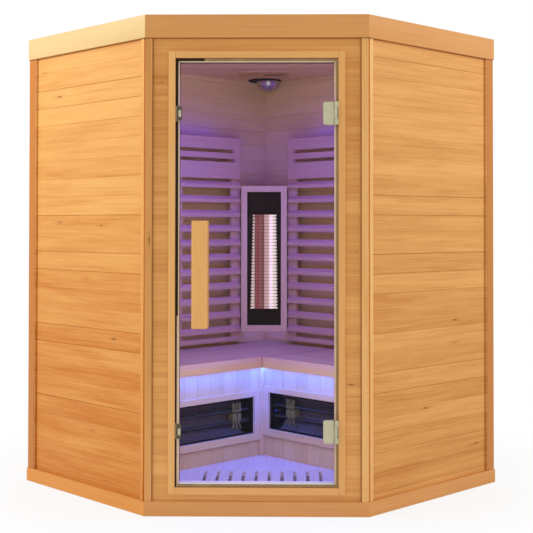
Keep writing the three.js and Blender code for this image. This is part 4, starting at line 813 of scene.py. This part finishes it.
def make_hinge(level_name, level):
    low, high = level - CLAMP_HALF, level + CLAMP_HALF
    knuckle_low, knuckle_high = level - KNUCKLE_HALF, level + KNUCKLE_HALF
    front = GLASS_FRONT - FIT
    back = GLASS_BACK + FIT
    web = GLASS_HALF + FIT
    front_right = HINGE_X - KNUCKLE_RADIUS - 0.0008
    clamp = [
        plate(rounded(CLAMP_LEFT, front_right, low, high, 0.008, 0.0015), front - CLAMP_THICK, front, ease=0.0008),
        plate(rounded(CLAMP_LEFT, web, low, high, 0.008, 0.0015), back, back + CLAMP_THICK, ease=0.0008),
        block(front_right - 0.004, web + CLAMP_THICK, front - CLAMP_THICK + 0.0002, front - 0.0002,
              knuckle_low, knuckle_high, 0.0005),
        block(web, web + CLAMP_THICK, front - CLAMP_THICK, back + CLAMP_THICK, knuckle_low, knuckle_high, 0.0005),
        barrel(knuckle_low, knuckle_high),
    ]
    piece(f"hinge_{level_name}_plates", joined(clamp), steel, "door", "satin_steel", f"hinge_{level_name}_clamp")

    leaf_right = REVEAL_HALF - FIT
    leaf_left = leaf_right - LEAF_THICK
    leaf_front = HINGE_Y - 0.006
    middle = KNUCKLE_HALF + 0.0008
    leaf = [block(leaf_left, leaf_right, leaf_front, STOP_FACE - FIT, low, high, 0.0004)]
    for first, last in ((low, level - middle), (level + middle, high)):
        leaf.append(barrel(first, last))
        leaf.append(block(HINGE_X + 0.0045, leaf_left + 0.0005, leaf_front, HINGE_Y + 0.005, first, last, 0.0004))
    piece(f"hinge_{level_name}_jamb_leaf", joined(leaf), steel, "cabin", "satin_steel", f"hinge_{level_name}_leaf")

    top = high + FIT
    bottom = low - FIT
    profile = [(0, bottom - 0.0024), (0.003, bottom - 0.0022), (0.0044, bottom - 0.001), (0.0046, bottom),
               (0.003, bottom), (0.003, top), (0.0046, top), (0.0044, top + 0.001), (0.003, top + 0.0022),
               (0, top + 0.0024)]
    pin = shifted(lathe(profile, 24), HINGE_X, HINGE_Y, 0)
    piece(f"hinge_{level_name}_axle", pin, steel, "cabin", "satin_steel", f"hinge_{level_name}_pin")


# Catches: a magnet in a housing on the jamb, and a steel strike clipped over the edge of the glass
def make_catch(level_name, level):
    low, high = level - CATCH_HALF, level + CATCH_HALF
    left = -REVEAL_HALF + FIT
    near, far = STOP_FACE - FIT - 0.011, STOP_FACE - FIT
    housing = [
        block(left, left + 0.0036, near, far, low, high, 0.0008),
        block(left + 0.0034, left + 0.0045, near + 0.0015, far - 0.0015, low + 0.009, high - 0.009, 0.0003),
    ]
    piece(f"catch_{level_name}_magnet", joined(housing), cream_plastic, "cabin", "black_plastic",
          f"catch_{level_name}")
    outer = left + 0.006
    front = GLASS_FRONT - FIT
    strike = [
        plate(rounded(outer, -GLASS_HALF + 0.014, low, high, 0.001, 0.006), front - 0.0022, front, ease=0.0006),
        block(outer, -GLASS_HALF - FIT, front - 0.0021, GLASS_BACK, low, high, 0.0005),
    ]
    piece(f"strike_{level_name}_clip", joined(strike), dark_steel, "door", "satin_steel", f"strike_{level_name}")
    pad = plate(rounded(-GLASS_HALF + 0.001, -GLASS_HALF + 0.011, level - 0.014, level + 0.012, 0.003, 0.003),
                front - 0.0034, front - 0.0023, ease=0.0005)
    piece(f"strike_{level_name}_pad", pad, steel, "door", "satin_steel")


# Rubber seal on the stop, in the gap round the glass. It is left out where the hinges and catches are. The black rubber
# down the left side and along the left of the top is painted shade in the gap; the rest is tan.
def make_seal():
    near, far = STOP_FACE - 0.0042, STOP_FACE - FIT
    inner, outer = GLASS_HALF + 0.0008, REVEAL_HALF - 0.0006
    bottom, top = REVEAL_LOW + 0.0006, REVEAL_HIGH - 0.0006
    narrow = inner + 0.0045
    split = 0.755
    shade_end = -0.2

    def runs(gap):
        """Levels between which the seal runs, with a gap above and below the middle of each fitting."""
        ends = [bottom]
        for level in sorted(HARDWARE_LEVELS.values()):
            ends += [level - gap, level + gap]
        ends.append(top)
        return zip(ends[::2], ends[1::2])

    dark, tan = [], []
    for low, high in runs(CLAMP_HALF + 0.003):
        tan.append(block(inner, outer, near, far, low, high, 0.001))
    for low, high in runs(CATCH_HALF + 0.002):
        if low < split:
            dark.append(block(-outer, -narrow, near, far, low, min(high, split), 0.001))
        if high > split:
            dark.append(block(-outer, -inner, near, far, max(low, split), high, 0.001))
    dark.append(block(-inner, shade_end, near, far, GLASS_HIGH + 0.0008, top, 0.001))
    tan.append(block(shade_end + FIT, inner, near, far, GLASS_HIGH + 0.0008, top, 0.001))
    tan.append(block(-inner, inner, near, far, bottom, GLASS_LOW - 0.0008, 0.001))
    piece("door_seal", joined(tan), tan_rubber, "cabin", "black_plastic")
    # Painted shade in the gap, as black rubber.
    piece("latch_seal", joined(dark), painted_shade_rubber, "cabin", "black_plastic")


# Heater parts
def open_tray(left, right, low, high, rim, back, wall=0.002):
    """A sheet steel box that is open at its rim."""
    inside = back - wall if back > rim else back + wall
    outer = rectangle(left, right, low, high)
    inner = rectangle(left + wall, right - wall, low + wall, high - wall)
    sides = pierced(outer, [inner], rim, back)
    floor = plate(inner, inside, back)
    return joined([sides, floor])


def folded_sheet(profile, low, high, thick):
    """A bent sheet from (x, y) points, as tall as low to high."""
    outline = profile + [(x, y + thick) for x, y in reversed(profile)]
    swap = Matrix(((1, 0, 0, 0), (0, 0, 1, 0), (0, 1, 0, 0), (0, 0, 0, 1)))
    return moved(plate(outline, low, high), swap)


def trough(left, right, edge, bottom, count, steps=10):
    """Points of side by side round troughs, from edge height to bottom height."""
    points = []
    for i in range(count * steps + 1):
        share = i / (count * steps)
        depth = abs(math.sin(math.pi * count * share)) ** 0.7
        points.append((left + share * (right - left), edge + (bottom - edge) * depth))
    return points


def toothed_side(bottom_x, top_x):
    """One side of the mesh window: a tooth points inwards between each two rows of the mesh."""
    tooth = math.copysign(0.0105, bottom_x)
    points = []
    for row in range(MESH_ROWS):
        edge = bottom_x + (top_x - bottom_x) * row / (MESH_ROWS - 1)
        bottom = MESH_LOW + row * MESH_PITCH
        points += [(edge, bottom + 0.3 * MESH_PITCH), (edge, bottom + 0.7 * MESH_PITCH),
                   (edge - tooth, bottom + MESH_PITCH)]
    points.pop()
    return points


def make_corner_heater():
    left, right, low, high = CORNER_WINDOW
    rim = CORNER_RIM
    margin = 0.0026
    outer = rectangle(left + margin, right - margin, low + margin, high - margin)
    window = toothed_side(MESH_HALF, MESH_TOP_RIGHT) + toothed_side(-MESH_HALF, MESH_TOP_LEFT)[::-1]
    face = [pierced(outer, [window], rim + 0.002, rim + 0.004)]
    for row in range(1, MESH_ROWS):
        z = MESH_LOW + row * MESH_PITCH
        face.append(rod((-MESH_HALF - 0.004, rim + 0.0046, z), (MESH_HALF + 0.004, rim + 0.0046, z), 0.001, 6))
    piece("corner_heater_face", joined(face), black_steel, "cabin", "black_steel", "corner_heater_guard")

    sheet = trough(left + 0.004, right - 0.004, rim + 0.014, CORNER_BACK - 0.005, 2)
    reflector = folded_sheet(sheet, low + 0.01, high - 0.01, 0.0008)
    piece("corner_heater_reflector", reflector, painted_reflection_reflector("painted_reflection_reflector"), "cabin", "lamp_chrome")

    tray = open_tray(left + FIT, right - FIT, low + FIT, high - FIT, rim, CORNER_BACK)
    piece("corner_heater_box", tray, black_steel, "cabin", "black_steel", "corner_heater_tray")

    y = (CORNER_RIM + CORNER_BACK) / 2
    bottom, top = CORNER_TUBE_ENDS
    finishes = {
        -1: ("left", quartz("ruby_quartz", srgb(74, 22, 22), srgb(138, 74, 80), 0.8)),
        1: ("right", quartz("hot_quartz", srgb(250, 226, 222), srgb(255, 226, 222), 0.75)),
    }
    for side, (side_name, finish) in finishes.items():
        profile = [(0, bottom - 0.001), (TUBE_RADIUS - 0.002, bottom - 0.001), (TUBE_RADIUS, bottom + 0.003),
                   (TUBE_RADIUS, top - 0.003), (TUBE_RADIUS - 0.002, top + 0.001), (0, top + 0.001)]
        tube = shifted(lathe(profile, 32), side * CORNER_TUBE_X, y, 0)
        piece(f"corner_tube_{side_name}", tube, finish, "cabin", "quartz", f"corner_heater_tube_{side_name}")
    holders = []
    for x in (-CORNER_TUBE_X, CORNER_TUBE_X):
        for z in (bottom - 0.02, top):
            holders.append(block(x - 0.012, x + 0.012, y - 0.012, CORNER_BACK - 0.0023, z, z + 0.02, 0.0015))
    piece("corner_tube_holders", joined(holders), ceramic, "cabin", "quartz")


def bench_axes(side):
    """A bench's own axes: along its rear wall from the inner corner, out into the room, and up."""
    hand = -1 if side == "left" else 1
    along = Vector((hand, -1, 0)) * ROOT_HALF
    out = Vector((-hand, -1, 0)) * ROOT_HALF
    turn = Matrix((along, out, (0, 0, 1))).transposed().to_4x4()
    return Matrix.Translation(INNER_CORNER) @ turn


def bench_guard(window):
    """A flat frame with a mesh of fine wires."""
    left, right, low, high = window
    face, back = BENCH_PLANE + 0.0023, BENCH_PLANE + FIT
    rim = rectangle(left + FIT, right - FIT, low + FIT, high - FIT)
    border = 0.007
    opening = rectangle(left + border, right - border, low + border, high - border)
    parts = [pierced(rim, [opening], back, face)]
    pitch = 0.0092
    reach = border - 0.002
    wires = round((right - left) / pitch)
    for i in range(1, wires):
        x = left + i * (right - left) / wires
        parts.append(rod((x, back + 0.0004, low + reach), (x, back + 0.0004, high - reach), 0.0005, 6))
    rows = round((high - low) / pitch)
    for i in range(1, rows):
        z = low + i * (high - low) / rows
        parts.append(rod((left + reach, back + 0.0014, z), (right - reach, back + 0.0014, z), 0.0005, 6))
    return joined(parts)


def tube_levels(window):
    _, _, low, high = window
    middle = (low + high) / 2
    return (middle - BENCH_TUBE_RISE, middle + BENCH_TUBE_RISE)


def bench_holder(x, window):
    """A ceramic bridge that carries the two tubes: back plate, three prongs, a saddle block and splayed legs."""
    _, _, low, high = window
    middle = (low + high) / 2
    back = BENCH_PLANE - FIT - BENCH_TRAY_DEPTH + 0.0022
    front = BENCH_PLANE - FIT - BENCH_TRAY_DEPTH / 2 + 0.012
    shapes = [block(x - 0.013, x + 0.013, back, back + 0.006, middle - 0.055, middle + 0.055, 0.001)]
    for step in (-1, 0, 1):
        prong = x + step * 0.019
        shapes.append(block(prong - 0.005, prong + 0.005, front - 0.01, front, middle + 0.026, middle + 0.058, 0.0015))
        foot = (x + step * 0.027, front - 0.004, middle - 0.058)
        shapes.append(rod((x + step * 0.01, front - 0.006, middle - 0.02), foot, 0.004, 10))
    shapes.append(block(x - 0.026, x + 0.026, back + 0.005, front, middle + 0.018, middle + 0.028, 0.002))
    for step in (-1, 1):
        saddle = x + step * 0.0145
        shapes.append(block(saddle - 0.012, saddle + 0.012, back + 0.005, front, middle - 0.022, middle + 0.012, 0.003))
    return joined(shapes)


def make_bench_heater(side):
    axes = bench_axes(side)
    window = BENCH_WINDOWS[side]
    left, right, low, high = window
    rim = BENCH_PLANE - FIT
    back = rim - BENCH_TRAY_DEPTH
    tube_y = (rim + back) / 2
    node = f"bench_heater_{side}"
    piece(f"{node}_mesh", moved(bench_guard(window), axes), black_steel, "cabin", "black_steel", f"{node}_guard")
    tray = open_tray(left + FIT, right - FIT, low + FIT, high - FIT, rim, back)
    piece(f"{node}_tray", moved(tray, axes), black_steel, "cabin", "black_steel", f"{node}_unit")
    sheet = trough(low + 0.006, high - 0.006, rim - 0.012, back + 0.004, 1)
    stand = Matrix(((0, 0, 1, 0), (0, 1, 0, 0), (1, 0, 0, 0), (0, 0, 0, 1)))
    reflector = moved(folded_sheet(sheet, left + REFLECTOR_INSET, right - REFLECTOR_INSET, 0.0008), stand)
    piece(f"{node}_reflector", moved(reflector, axes), dark_sheet, "cabin", "satin_steel")
    ends = (left + 0.003, right - 0.003)
    tubes = [rod((ends[0], tube_y, z), (ends[1], tube_y, z), TUBE_RADIUS, 24) for z in tube_levels(window)]
    piece(f"{node}_tubes", moved(joined(tubes), axes), grey_quartz, "cabin", "quartz")
    inset = HOLDER_INSETS[side]
    holders = joined([bench_holder(x, window) for x in (left + inset, right - inset)])
    piece(f"{node}_holders", moved(holders, axes), ceramic, "cabin", "quartz")


def make_pilot_lamp():
    """Small blue light beside the tubes of the right bench heater."""
    left, _, low, _ = BENCH_WINDOWS["right"]
    back = BENCH_PLANE - FIT - BENCH_TRAY_DEPTH + 0.002
    reach = 0.05
    body = [(0, 0), (0.0055, 0), (0.0055, reach - 0.004), (0.0065, reach - 0.003), (0.0065, reach), (0, reach)]
    lens = [(0, reach), (0.005, reach), (0.005, reach + 0.002), (0.0035, reach + 0.0045), (0, reach + 0.0055)]
    outward = Matrix.Rotation(-math.pi / 2, 4, "X")
    seat = bench_axes("right") @ Matrix.Translation((left + 0.029, back, low + 0.083)) @ outward
    piece("bench_heater_pilot_body", moved(lathe(body, 24), seat), black_plastic, "cabin", "black_plastic")
    piece("bench_heater_pilot", moved(lathe(lens, 24), seat), pilot_glass("pilot_glass"), "cabin", "led_diffuser")


# Ceiling lamp
def make_lamp():
    top = CEILING_LEVEL - FIT
    flange = [(0, top), (0.082, top), (0.083, top - 0.001), (0.083, top - 0.0035), (0.081, top - 0.0055),
              (0.07, top - 0.006), (0, top - 0.006)]
    piece("lamp_flange", shifted(lathe(flange, 64), 0, LAMP_Y, 0), black_plastic, "cabin", "black_plastic", "lamp_base")
    rim = top - 0.006 - FIT
    radius, drop = 0.06, 0.051
    dome = [(0, rim), (radius, rim), (radius, rim - 0.003), (radius - 0.002, rim - 0.0045)]
    rings = 14
    for i in range(1, rings):
        angle = math.pi / 2 * i / rings
        dome.append(((radius - 0.002) * math.cos(angle), rim - 0.0045 - (drop - 0.0045) * math.sin(angle)))
    dome.append((0, rim - drop))
    piece("lamp_bowl", shifted(lathe(dome, 64), LAMP_BOWL_X, LAMP_Y, 0), lamp_chrome, "cabin", "lamp_chrome", "lamp_dome")


# Touch control panel on the right side wall
def make_control_panel():
    corner = Vector((0.42103, -0.76692, 0))
    turn = Matrix((Vector((1, 1, 0)) * ROOT_HALF, Vector((-1, 1, 0)) * ROOT_HALF, (0, 0, 1))).transposed().to_4x4()
    axes = Matrix.Translation(corner) @ turn
    back, face = 0.0453, 0.0593
    left, right, low, high = 0.16, 0.27, 1.15, 1.32
    housing = plate(rounded(left, right, low, high, 0.008, 0.008), back, face - 0.0012, ease=0.002)
    piece("control_housing", moved(housing, axes), black_plastic, "cabin", "black_plastic", "control_panel")
    glass = plate(rounded(left + 0.006, right - 0.006, low + 0.006, high - 0.006, 0.005, 0.005), face - 0.0014,
                  face - 0.0002, ease=0.0004)
    piece("control_glass", moved(glass, axes), dark_display("control_display"), "cabin", "black_plastic")
    keys = []
    for row in range(2):
        for column in range(3):
            key = lathe([(0, 0), (0.0085, 0), (0.0085, 0.0003), (0.0075, 0.0006), (0.0045, 0.0003), (0, 0.0002)], 28)
            turned = moved(key, Matrix.Rotation(-math.pi / 2, 4, "X"))
            keys.append(shifted(turned, left + 0.025 + 0.03 * column, face - 0.0003, low + 0.032 + 0.034 * row))
    piece("control_keys", moved(joined(keys), axes), black_plastic, "cabin", "black_plastic")


# Roof: screws along the cover's edges, and the cable gland
def plan_outline(inset):
    side = REAR_SIDE * ROOT_HALF
    front = FRONT_HALF - inset * math.tan(math.pi / 8)
    wide = side - inset / ROOT_HALF
    shoulder = side - FRONT_HALF
    rear = 2 * side - FRONT_HALF - inset / ROOT_HALF
    plan = [(-front, inset), (front, inset), (wide, shoulder), (0, rear), (-wide, shoulder)]
    return [Vector((x, y + FASCIA_FRONT, 0)) for x, y in plan]


def make_roof_screws():
    head = [(0, 0.0002), (0.0016, 0.0004), (0.0016, 0.0012), (0.003, 0.001), (0.0042, 0.0003), (0.0042, 0), (0, 0)]
    corners = plan_outline(0.027)
    heads = []
    for start, end in zip(corners, corners[1:] + corners[:1]):
        count = max(3, round((end - start).length / 0.25))
        for i in range(count):
            at = start.lerp(end, (i + 0.5) / count)
            heads.append(shifted(lathe(head, 20), at.x, at.y, COVER_TOP))
    piece("roof_screws", joined(heads), steel, "cabin", "satin_steel")


def make_gland():
    top = COVER_TOP
    nut = [(0.005, top + FIT), (0.0148, top + FIT), (0.0148, top + 0.0028), (0.0135, top + 0.0033), (0.005, top + 0.0033)]
    dome = [(0.005, top - 0.0148), (0.009, top - 0.0148), (0.009, top + 0.0033), (0.0105, top + 0.0033),
            (0.0105, top + 0.0055), (0.009, top + 0.0074), (0.0065, top + 0.008), (0.005, top + 0.008)]
    shapes = [shifted(lathe(nut, 6, ring=True), 0, GLAND_Y, 0), shifted(lathe(dome, 28, ring=True), 0, GLAND_Y, 0)]
    piece("roof_gland", joined(shapes), black_plastic, "cabin", "black_plastic", "cable_gland")


make_camera()
grey_quartz = quartz("grey_quartz", srgb(70, 64, 60), srgb(120, 110, 110), 0.01)
make_pull("outer", GLASS_FRONT - PULL_STANDOFF - PULL_THICK, GLASS_FRONT)
make_pull("inner", GLASS_BACK + PULL_STANDOFF, GLASS_BACK)
for hardware_name, hardware_level in HARDWARE_LEVELS.items():
    make_hinge(hardware_name, hardware_level)
    make_catch(hardware_name, hardware_level)
make_seal()
make_corner_heater()
make_bench_heater("left")
make_bench_heater("right")
make_pilot_lamp()
make_lamp()
make_control_panel()
make_roof_screws()
make_gland()


# Finishes of the CAD nodes that stay
def dress(material, *names):
    for name in names:
        nodes[name].data.materials.clear()
        nodes[name].data.materials.append(material)


def ease_edges(width, *names):
    """Round off the edges of a CAD node as planed wood has them, without changing its mesh."""
    for name in names:
        weld = nodes[name].modifiers.new("weld", "WELD")
        weld.merge_threshold = 0.00001
        flat = nodes[name].modifiers.new("flat", "DECIMATE")
        flat.decimate_type = "DISSOLVE"
        flat.angle_limit = math.radians(0.5)
        bevel = nodes[name].modifiers.new("ease", "BEVEL")
        bevel.width = width
        bevel.segments = 2
        bevel.limit_method = "ANGLE"
        bevel.angle_limit = math.radians(50)


def dress_walls():
    right_way = (1, 1, 0)
    left_way = (1, -1, 0)
    far_left = (LEFT_PAINTED_LIGHT_CLADDING[1], FAR_TRIM_BROWN)
    far_right = (CLADDING[1], FAR_TRIM_BROWN)
    # The seventh column is painted shade by height: above 0 the boards are darker lower down, below 0 paler.
    runs = {
        "front": ((1, 0, 0), FRONT_TRIM, FRONT_TRIM, CLADDING, (DULL_TRIM, TRIM), 0.2, -0.2, 0.25),
        "right": (right_way, NEAR_TRIM, FAR_TRIM, CLADDING, (TRIM, far_right), 0.35, 0.15, 0.3),
        "left": (left_way, FAR_TRIM, NEAR_TRIM, LEFT_PAINTED_LIGHT_CLADDING, (far_left, LEFT_PAINTED_LIGHT_CLADDING), 0.35, 0.5, 0.35),
        "rear_left": (right_way, FAR_TRIM, FAR_TRIM, CLADDING, (CLADDING, CLADDING), 0.35, 0.15, 0.3),
        "rear_right": (left_way, FAR_TRIM, FAR_TRIM, CLADDING, (CLADDING, CLADDING), 0.35, 0.15, 0.3),
    }
    for side, (along, first, last, tones, trim_tones, joint_depth, painted_height_shade, tone_spread) in runs.items():
        node = f"{side}_wall_panel"
        finish = wall_wood(node, node, along, first, last, tones, trim_tones, joint_depth, painted_height_shade, figure=0.28,
                           knots=0.13, contrast=0.55, tone_spread=tone_spread)
        dress(finish, node)


def dress_benches():
    for side, angle, first in (("left", 45, LEFT_BENCH_FIRST_JOINT), ("right", -45, RIGHT_BENCH_FIRST_JOINT)):
        flat = math.radians(angle)
        butt = RIGHT_SEAT_START if side == "right" else None
        dress(plain_wood(f"seat_boards_{side}", SEAT, flat, first=SEAT_FIRST_JOINT, pitch=SEAT_BOARD_PITCH, butt=butt,
                         butt_width=0.022, joint_depth=0.25, joint_colour=JOINT_AND_SHADE_BROWN, contrast=0.6), f"seat_{side}")
        dress(plain_wood(f"seat_rails_{side}", EDGE_PAINTED_LIGHT_TONES, flat, butt=butt, butt_width=0.012, contrast=0.6),
              f"seat_edge_{side}")
        dress(plain_wood(f"bench_rails_{side}", BENCH, flat, contrast=0.6), f"bench_heater_{side}_frame")
        dress(plain_wood(f"slats_{side}", SLATS, flat, contrast=0.6), f"backrest_{side}")
        dress(plain_wood(f"bench_boards_{side}", BENCH, upright=True, first=first, pitch=BOARD_PITCH,
                         joint_depth=0.5, joint_colour=JOINT_AND_SHADE_BROWN, contrast=0.6, tone_spread=0.45),
              f"bench_front_{side}")
    dress(plain_wood("heater_frame_wood", HEATER_FRAME, upright=True, contrast=0.6), "corner_heater_frame")
    dress(plain_wood("floor_boards", CABIN_FLOOR, flat_angle=math.radians(90), contrast=0.6), "floor_panel", "floor_grille")
    dress(plain_wood("vent_wood", VENT_WOOD, contrast=0.6), "vent_frame", "vent_slide")


# Painted light: the lining's tone changes with height, pink above the backrests and yellow under the ceiling.
LINING_PAINTED_LIGHT_TONES = height_tones((1.25, LINING), (1.42, PAINTED_GLOW_LINING), (1.80, YELLOW_LINING))
# Painted light: the seat edge rails turn from orange low down to pink at their top.
EDGE_PAINTED_LIGHT_TONES = height_tones((0.474, ORANGE_EDGE), (0.503, PINK_EDGE))
dress_walls()
dress_benches()
# The left-facing boards of the fascia and plinth carry painted light.
dress(fascia_wood("fascia_boards", FASCIA, PAINTED_LIGHT_FASCIA, contrast=0.5), "roof_fascia")
dress(fascia_wood("plinth_boards", FASCIA, PAINTED_LIGHT_PLINTH, contrast=0.5), "plinth")
dress(jamb_wood("head_wood", DEEP_TRIM, STOP_PAINTED_LIGHT, STOP_PAINTED_SHADE, contrast=0.5), "door_head")
dress(jamb_wood("sill_wood", DEEP_TRIM, STOP_PAINTED_HIGHLIGHT, STOP_PAINTED_HIGHLIGHT, contrast=0.5), "door_sill")
dress(jamb_wood("hinge_jamb_wood", DEEP_TRIM, STOP_PAINTED_LIGHT, STOP_PAINTED_SHADE, upright=True, contrast=0.5), "door_jamb_hinge")
dress(jamb_wood("latch_jamb_wood", TRIM, STOP_PAINTED_LIGHT, STOP_PAINTED_SHADE, upright=True, contrast=0.5), "door_jamb_latch")
# The lining and ceiling joints are pale, painted light that hides the shade in their grooves.
dress(plain_wood("lining_boards", LINING_PAINTED_LIGHT_TONES, first=LINING_FIRST_JOINT, pitch=BOARD_PITCH, joint_depth=0.3,
                 joint_colour=JOINT_PAINTED_LIGHT, contrast=0.6),
      "left_wall_lining", "right_wall_lining", "rear_left_wall_lining", "rear_right_wall_lining")
dress(plain_wood("ceiling_boards", LINING, first=CEILING_FIRST_JOINT, pitch=BOARD_PITCH, joint_depth=0.2,
                 joint_colour=JOINT_PAINTED_LIGHT, contrast=0.6), "ceiling_panel")
dress(plain_wood("roof_board", ROOF_BOARD, contrast=0.5), "roof_cover")
dress(black_plastic, "power_box")
dress(door_pane("door_glass"), "door_glass")
dress(led_diffuser("led_diffuser"), "led_strip")
dress(heating_film("heating_film"), "floor_heater")
ease_edges(0.0015, "roof_fascia", "plinth", "door_jamb_hinge", "door_jamb_latch", "door_head", "door_sill",
           "seat_edge_left", "seat_edge_right", "backrest_left", "backrest_right", "bench_heater_left_frame",
           "bench_heater_right_frame", "corner_heater_frame", "vent_frame", "vent_slide")


# Light, floor and background
def area_light(name, place_at, aim, size, power, colour=(1, 1, 1), spread=180, mirrored=True):
    light = bpy.data.lights.new(name, "AREA")
    light.shape = "RECTANGLE"
    light.size, light.size_y = size
    light.energy = power
    light.color = colour
    light.spread = math.radians(spread)
    lamp = bpy.data.objects.new(name, light)
    lamp.location = place_at
    lamp.rotation_euler = (Vector(aim) - Vector(place_at)).to_track_quat("-Z", "Y").to_euler()
    lamp.visible_camera = False
    lamp.visible_glossy = mirrored
    bpy.context.scene.collection.objects.link(lamp)
    return lamp


def make_world(ambient):
    """White where it is seen, directly, through glass or in metal, and an even soft light elsewhere."""
    world = bpy.data.worlds.new("studio")
    world.use_nodes = True
    tree = world.node_tree
    tree.nodes.clear()
    output = tree.nodes.new("ShaderNodeOutputWorld")
    path = tree.nodes.new("ShaderNodeLightPath")
    strength = tree.nodes.new("ShaderNodeMix")
    strength.data_type = "FLOAT"
    strength.inputs[2].default_value = ambient
    strength.inputs[3].default_value = 1.0
    seen = path.outputs["Is Camera Ray"]
    for other in ("Is Glossy Ray", "Is Transmission Ray"):
        either = tree.nodes.new("ShaderNodeMath")
        either.operation = "MAXIMUM"
        tree.links.new(seen, either.inputs[0])
        tree.links.new(path.outputs[other], either.inputs[1])
        seen = either.outputs[0]
    tree.links.new(seen, strength.inputs["Factor"])
    background = tree.nodes.new("ShaderNodeBackground")
    background.inputs["Color"].default_value = (1, 1, 1, 1)
    tree.links.new(strength.outputs[0], background.inputs["Strength"])
    tree.links.new(background.outputs[0], output.inputs["Surface"])
    bpy.context.scene.world = world


def make_floor():
    """A pale floor that keeps the cabin's shadow and turns white away from it."""
    mesh = bpy.data.meshes.new("studio_floor")
    side = 30.0
    corners = [(-side, -side, 0), (side, -side, 0), (side, side, 0), (-side, side, 0)]
    mesh.from_pydata(corners, [], [(0, 1, 2, 3)])
    floor = bpy.data.objects.new("studio_floor", mesh)
    floor.location.z = -0.0005
    bpy.context.scene.collection.objects.link(floor)
    graph = Graph("studio_floor")
    position, _ = place(graph)
    away = graph.vector("LENGTH", position)
    diffuse = graph.node("ShaderNodeBsdfDiffuse")
    diffuse.inputs["Color"].default_value = (0.9, 0.9, 0.9, 1)
    white = graph.node("ShaderNodeEmission")
    path = graph.node("ShaderNodeLightPath")
    mixed = graph.node("ShaderNodeMixShader")
    seen = path.outputs["Is Camera Ray"]
    for other in ("Is Glossy Ray", "Is Transmission Ray"):
        seen = graph.math("MAXIMUM", seen, path.outputs[other])
    share = graph.math("MULTIPLY", seen, graph.between(away, 0.8, 1.8, 0.8, 1.0))
    graph.feed(mixed.inputs[0], share)
    graph.feed(mixed.inputs[1], diffuse.outputs[0])
    graph.feed(mixed.inputs[2], white.outputs[0])
    graph.feed(graph.output.inputs["Surface"], mixed.outputs[0])
    mesh.materials.append(graph.material)


def bench_light(side, power, colour):
    """Glow of the strip under a seat edge, on the bench front and the floor."""
    axes = bench_axes(side)
    middle, length = 0.87, 0.68
    start = axes @ Vector((middle, BENCH_PLANE + 0.035, 0.455))
    aim = axes @ Vector((middle, BENCH_PLANE + 0.02, 0.0))
    area_light(f"{side}_strip_glow", start, aim, (length, 0.02), power, colour)


def backrest_glow(side, power, colour):
    """Light from behind the top of a backrest, on the wall above it."""
    axes = bench_axes(side)
    middle, length = 0.75, 0.8
    start = axes @ Vector((middle, 0.04, 1.54))
    aim = axes @ Vector((middle, 0.0, 1.72))
    area_light(f"{side}_backrest_glow", start, aim, (length, 0.02), power, colour)


STUDIO_AMBIENT = 0.81
KEY_POWER = 38
FILL_POWER = 25
DOOR_FILL_POWER = 5.0
VIOLET_POWER = 1.0
SEAT_POWER = 0.078
STRIP_POWER = 1.8
HIGH_POWER = 9.9
GLOW_POWER = 0.21
CORNER_POWER = 0.16
LOW_POWER = 0.82
POST_POWER = 0.15
SPOT_POWER = 0.007
DOOR_FILL = (0.44, 0.62, 1.0)
VIOLET = (0.05, 0.0, 1.0)
SEAT_VIOLET = (0.0, 0.12, 1.0)
STRIP_BLUE = (0.0, 0.09, 1.0)
HIGH_VIOLET = (0.04, 0.0, 1.0)
GLOW_VIOLET = (0.0, 0.0, 1.0)
CORNER_VIOLET = (0.16, 0.16, 1.0)
LOW_FILL = (0.0, 0.12, 1.0)
POST_BLUE = (0.0, 0.06, 1.0)
SPOT_CYAN = (0.1, 0.7, 1.0)

make_world(STUDIO_AMBIENT)
make_floor()
area_light("left_key", (-3.0, -0.9, 3.2), (-0.7, -0.5, 1.5), (1.2, 1.2), KEY_POWER)
area_light("right_fill", (3.0, -0.9, 3.2), (0.7, -0.5, 1.5), (1.2, 1.2), FILL_POWER)
area_light("door_fill", (0.0, -0.70, 1.0), (0.0, 0.5, 1.0), (0.5, 1.4), DOOR_FILL_POWER, DOOR_FILL, mirrored=False)
area_light("low_fill", (0.0, -0.70, 0.42), (0.0, 0.1, 0.42), (0.5, 0.3), LOW_POWER, LOW_FILL, mirrored=False)
area_light("seat_violet", (0.0, 0.05, 1.7), (0.0, 0.16, 0.5), (0.5, 0.3), VIOLET_POWER, VIOLET, spread=90)
area_light("high_violet", (0.0, -0.66, 1.74), (0.0, 0.3, 0.6), (0.5, 0.1), HIGH_POWER, HIGH_VIOLET,
           mirrored=False)
area_light("corner_glow", (0.0, 0.005, 0.455), (0.0, 0.04, 0.25), (0.04, 0.015), SEAT_POWER, SEAT_VIOLET)
area_light("corner_fill", (0.0, 0.50, 0.562), (0.0, 0.73, 0.562), (0.14, 0.016), CORNER_POWER, CORNER_VIOLET,
           spread=100, mirrored=False)
area_light("post_glow", (0.0, -0.12, 0.30), (0.0, 0.06, 0.30), (0.03, 0.2), POST_POWER, POST_BLUE, spread=110,
           mirrored=False)
area_light("corner_spot", (0.007, 0.012, 0.458), (0.007, 0.034, 0.453), (0.016, 0.004), SPOT_POWER, SPOT_CYAN,
           mirrored=False)
for bench_side in ("left", "right"):
    bench_light(bench_side, STRIP_POWER, STRIP_BLUE)
    backrest_glow(bench_side, GLOW_POWER, GLOW_VIOLET)

bpy.context.scene.view_settings.view_transform = "Standard"
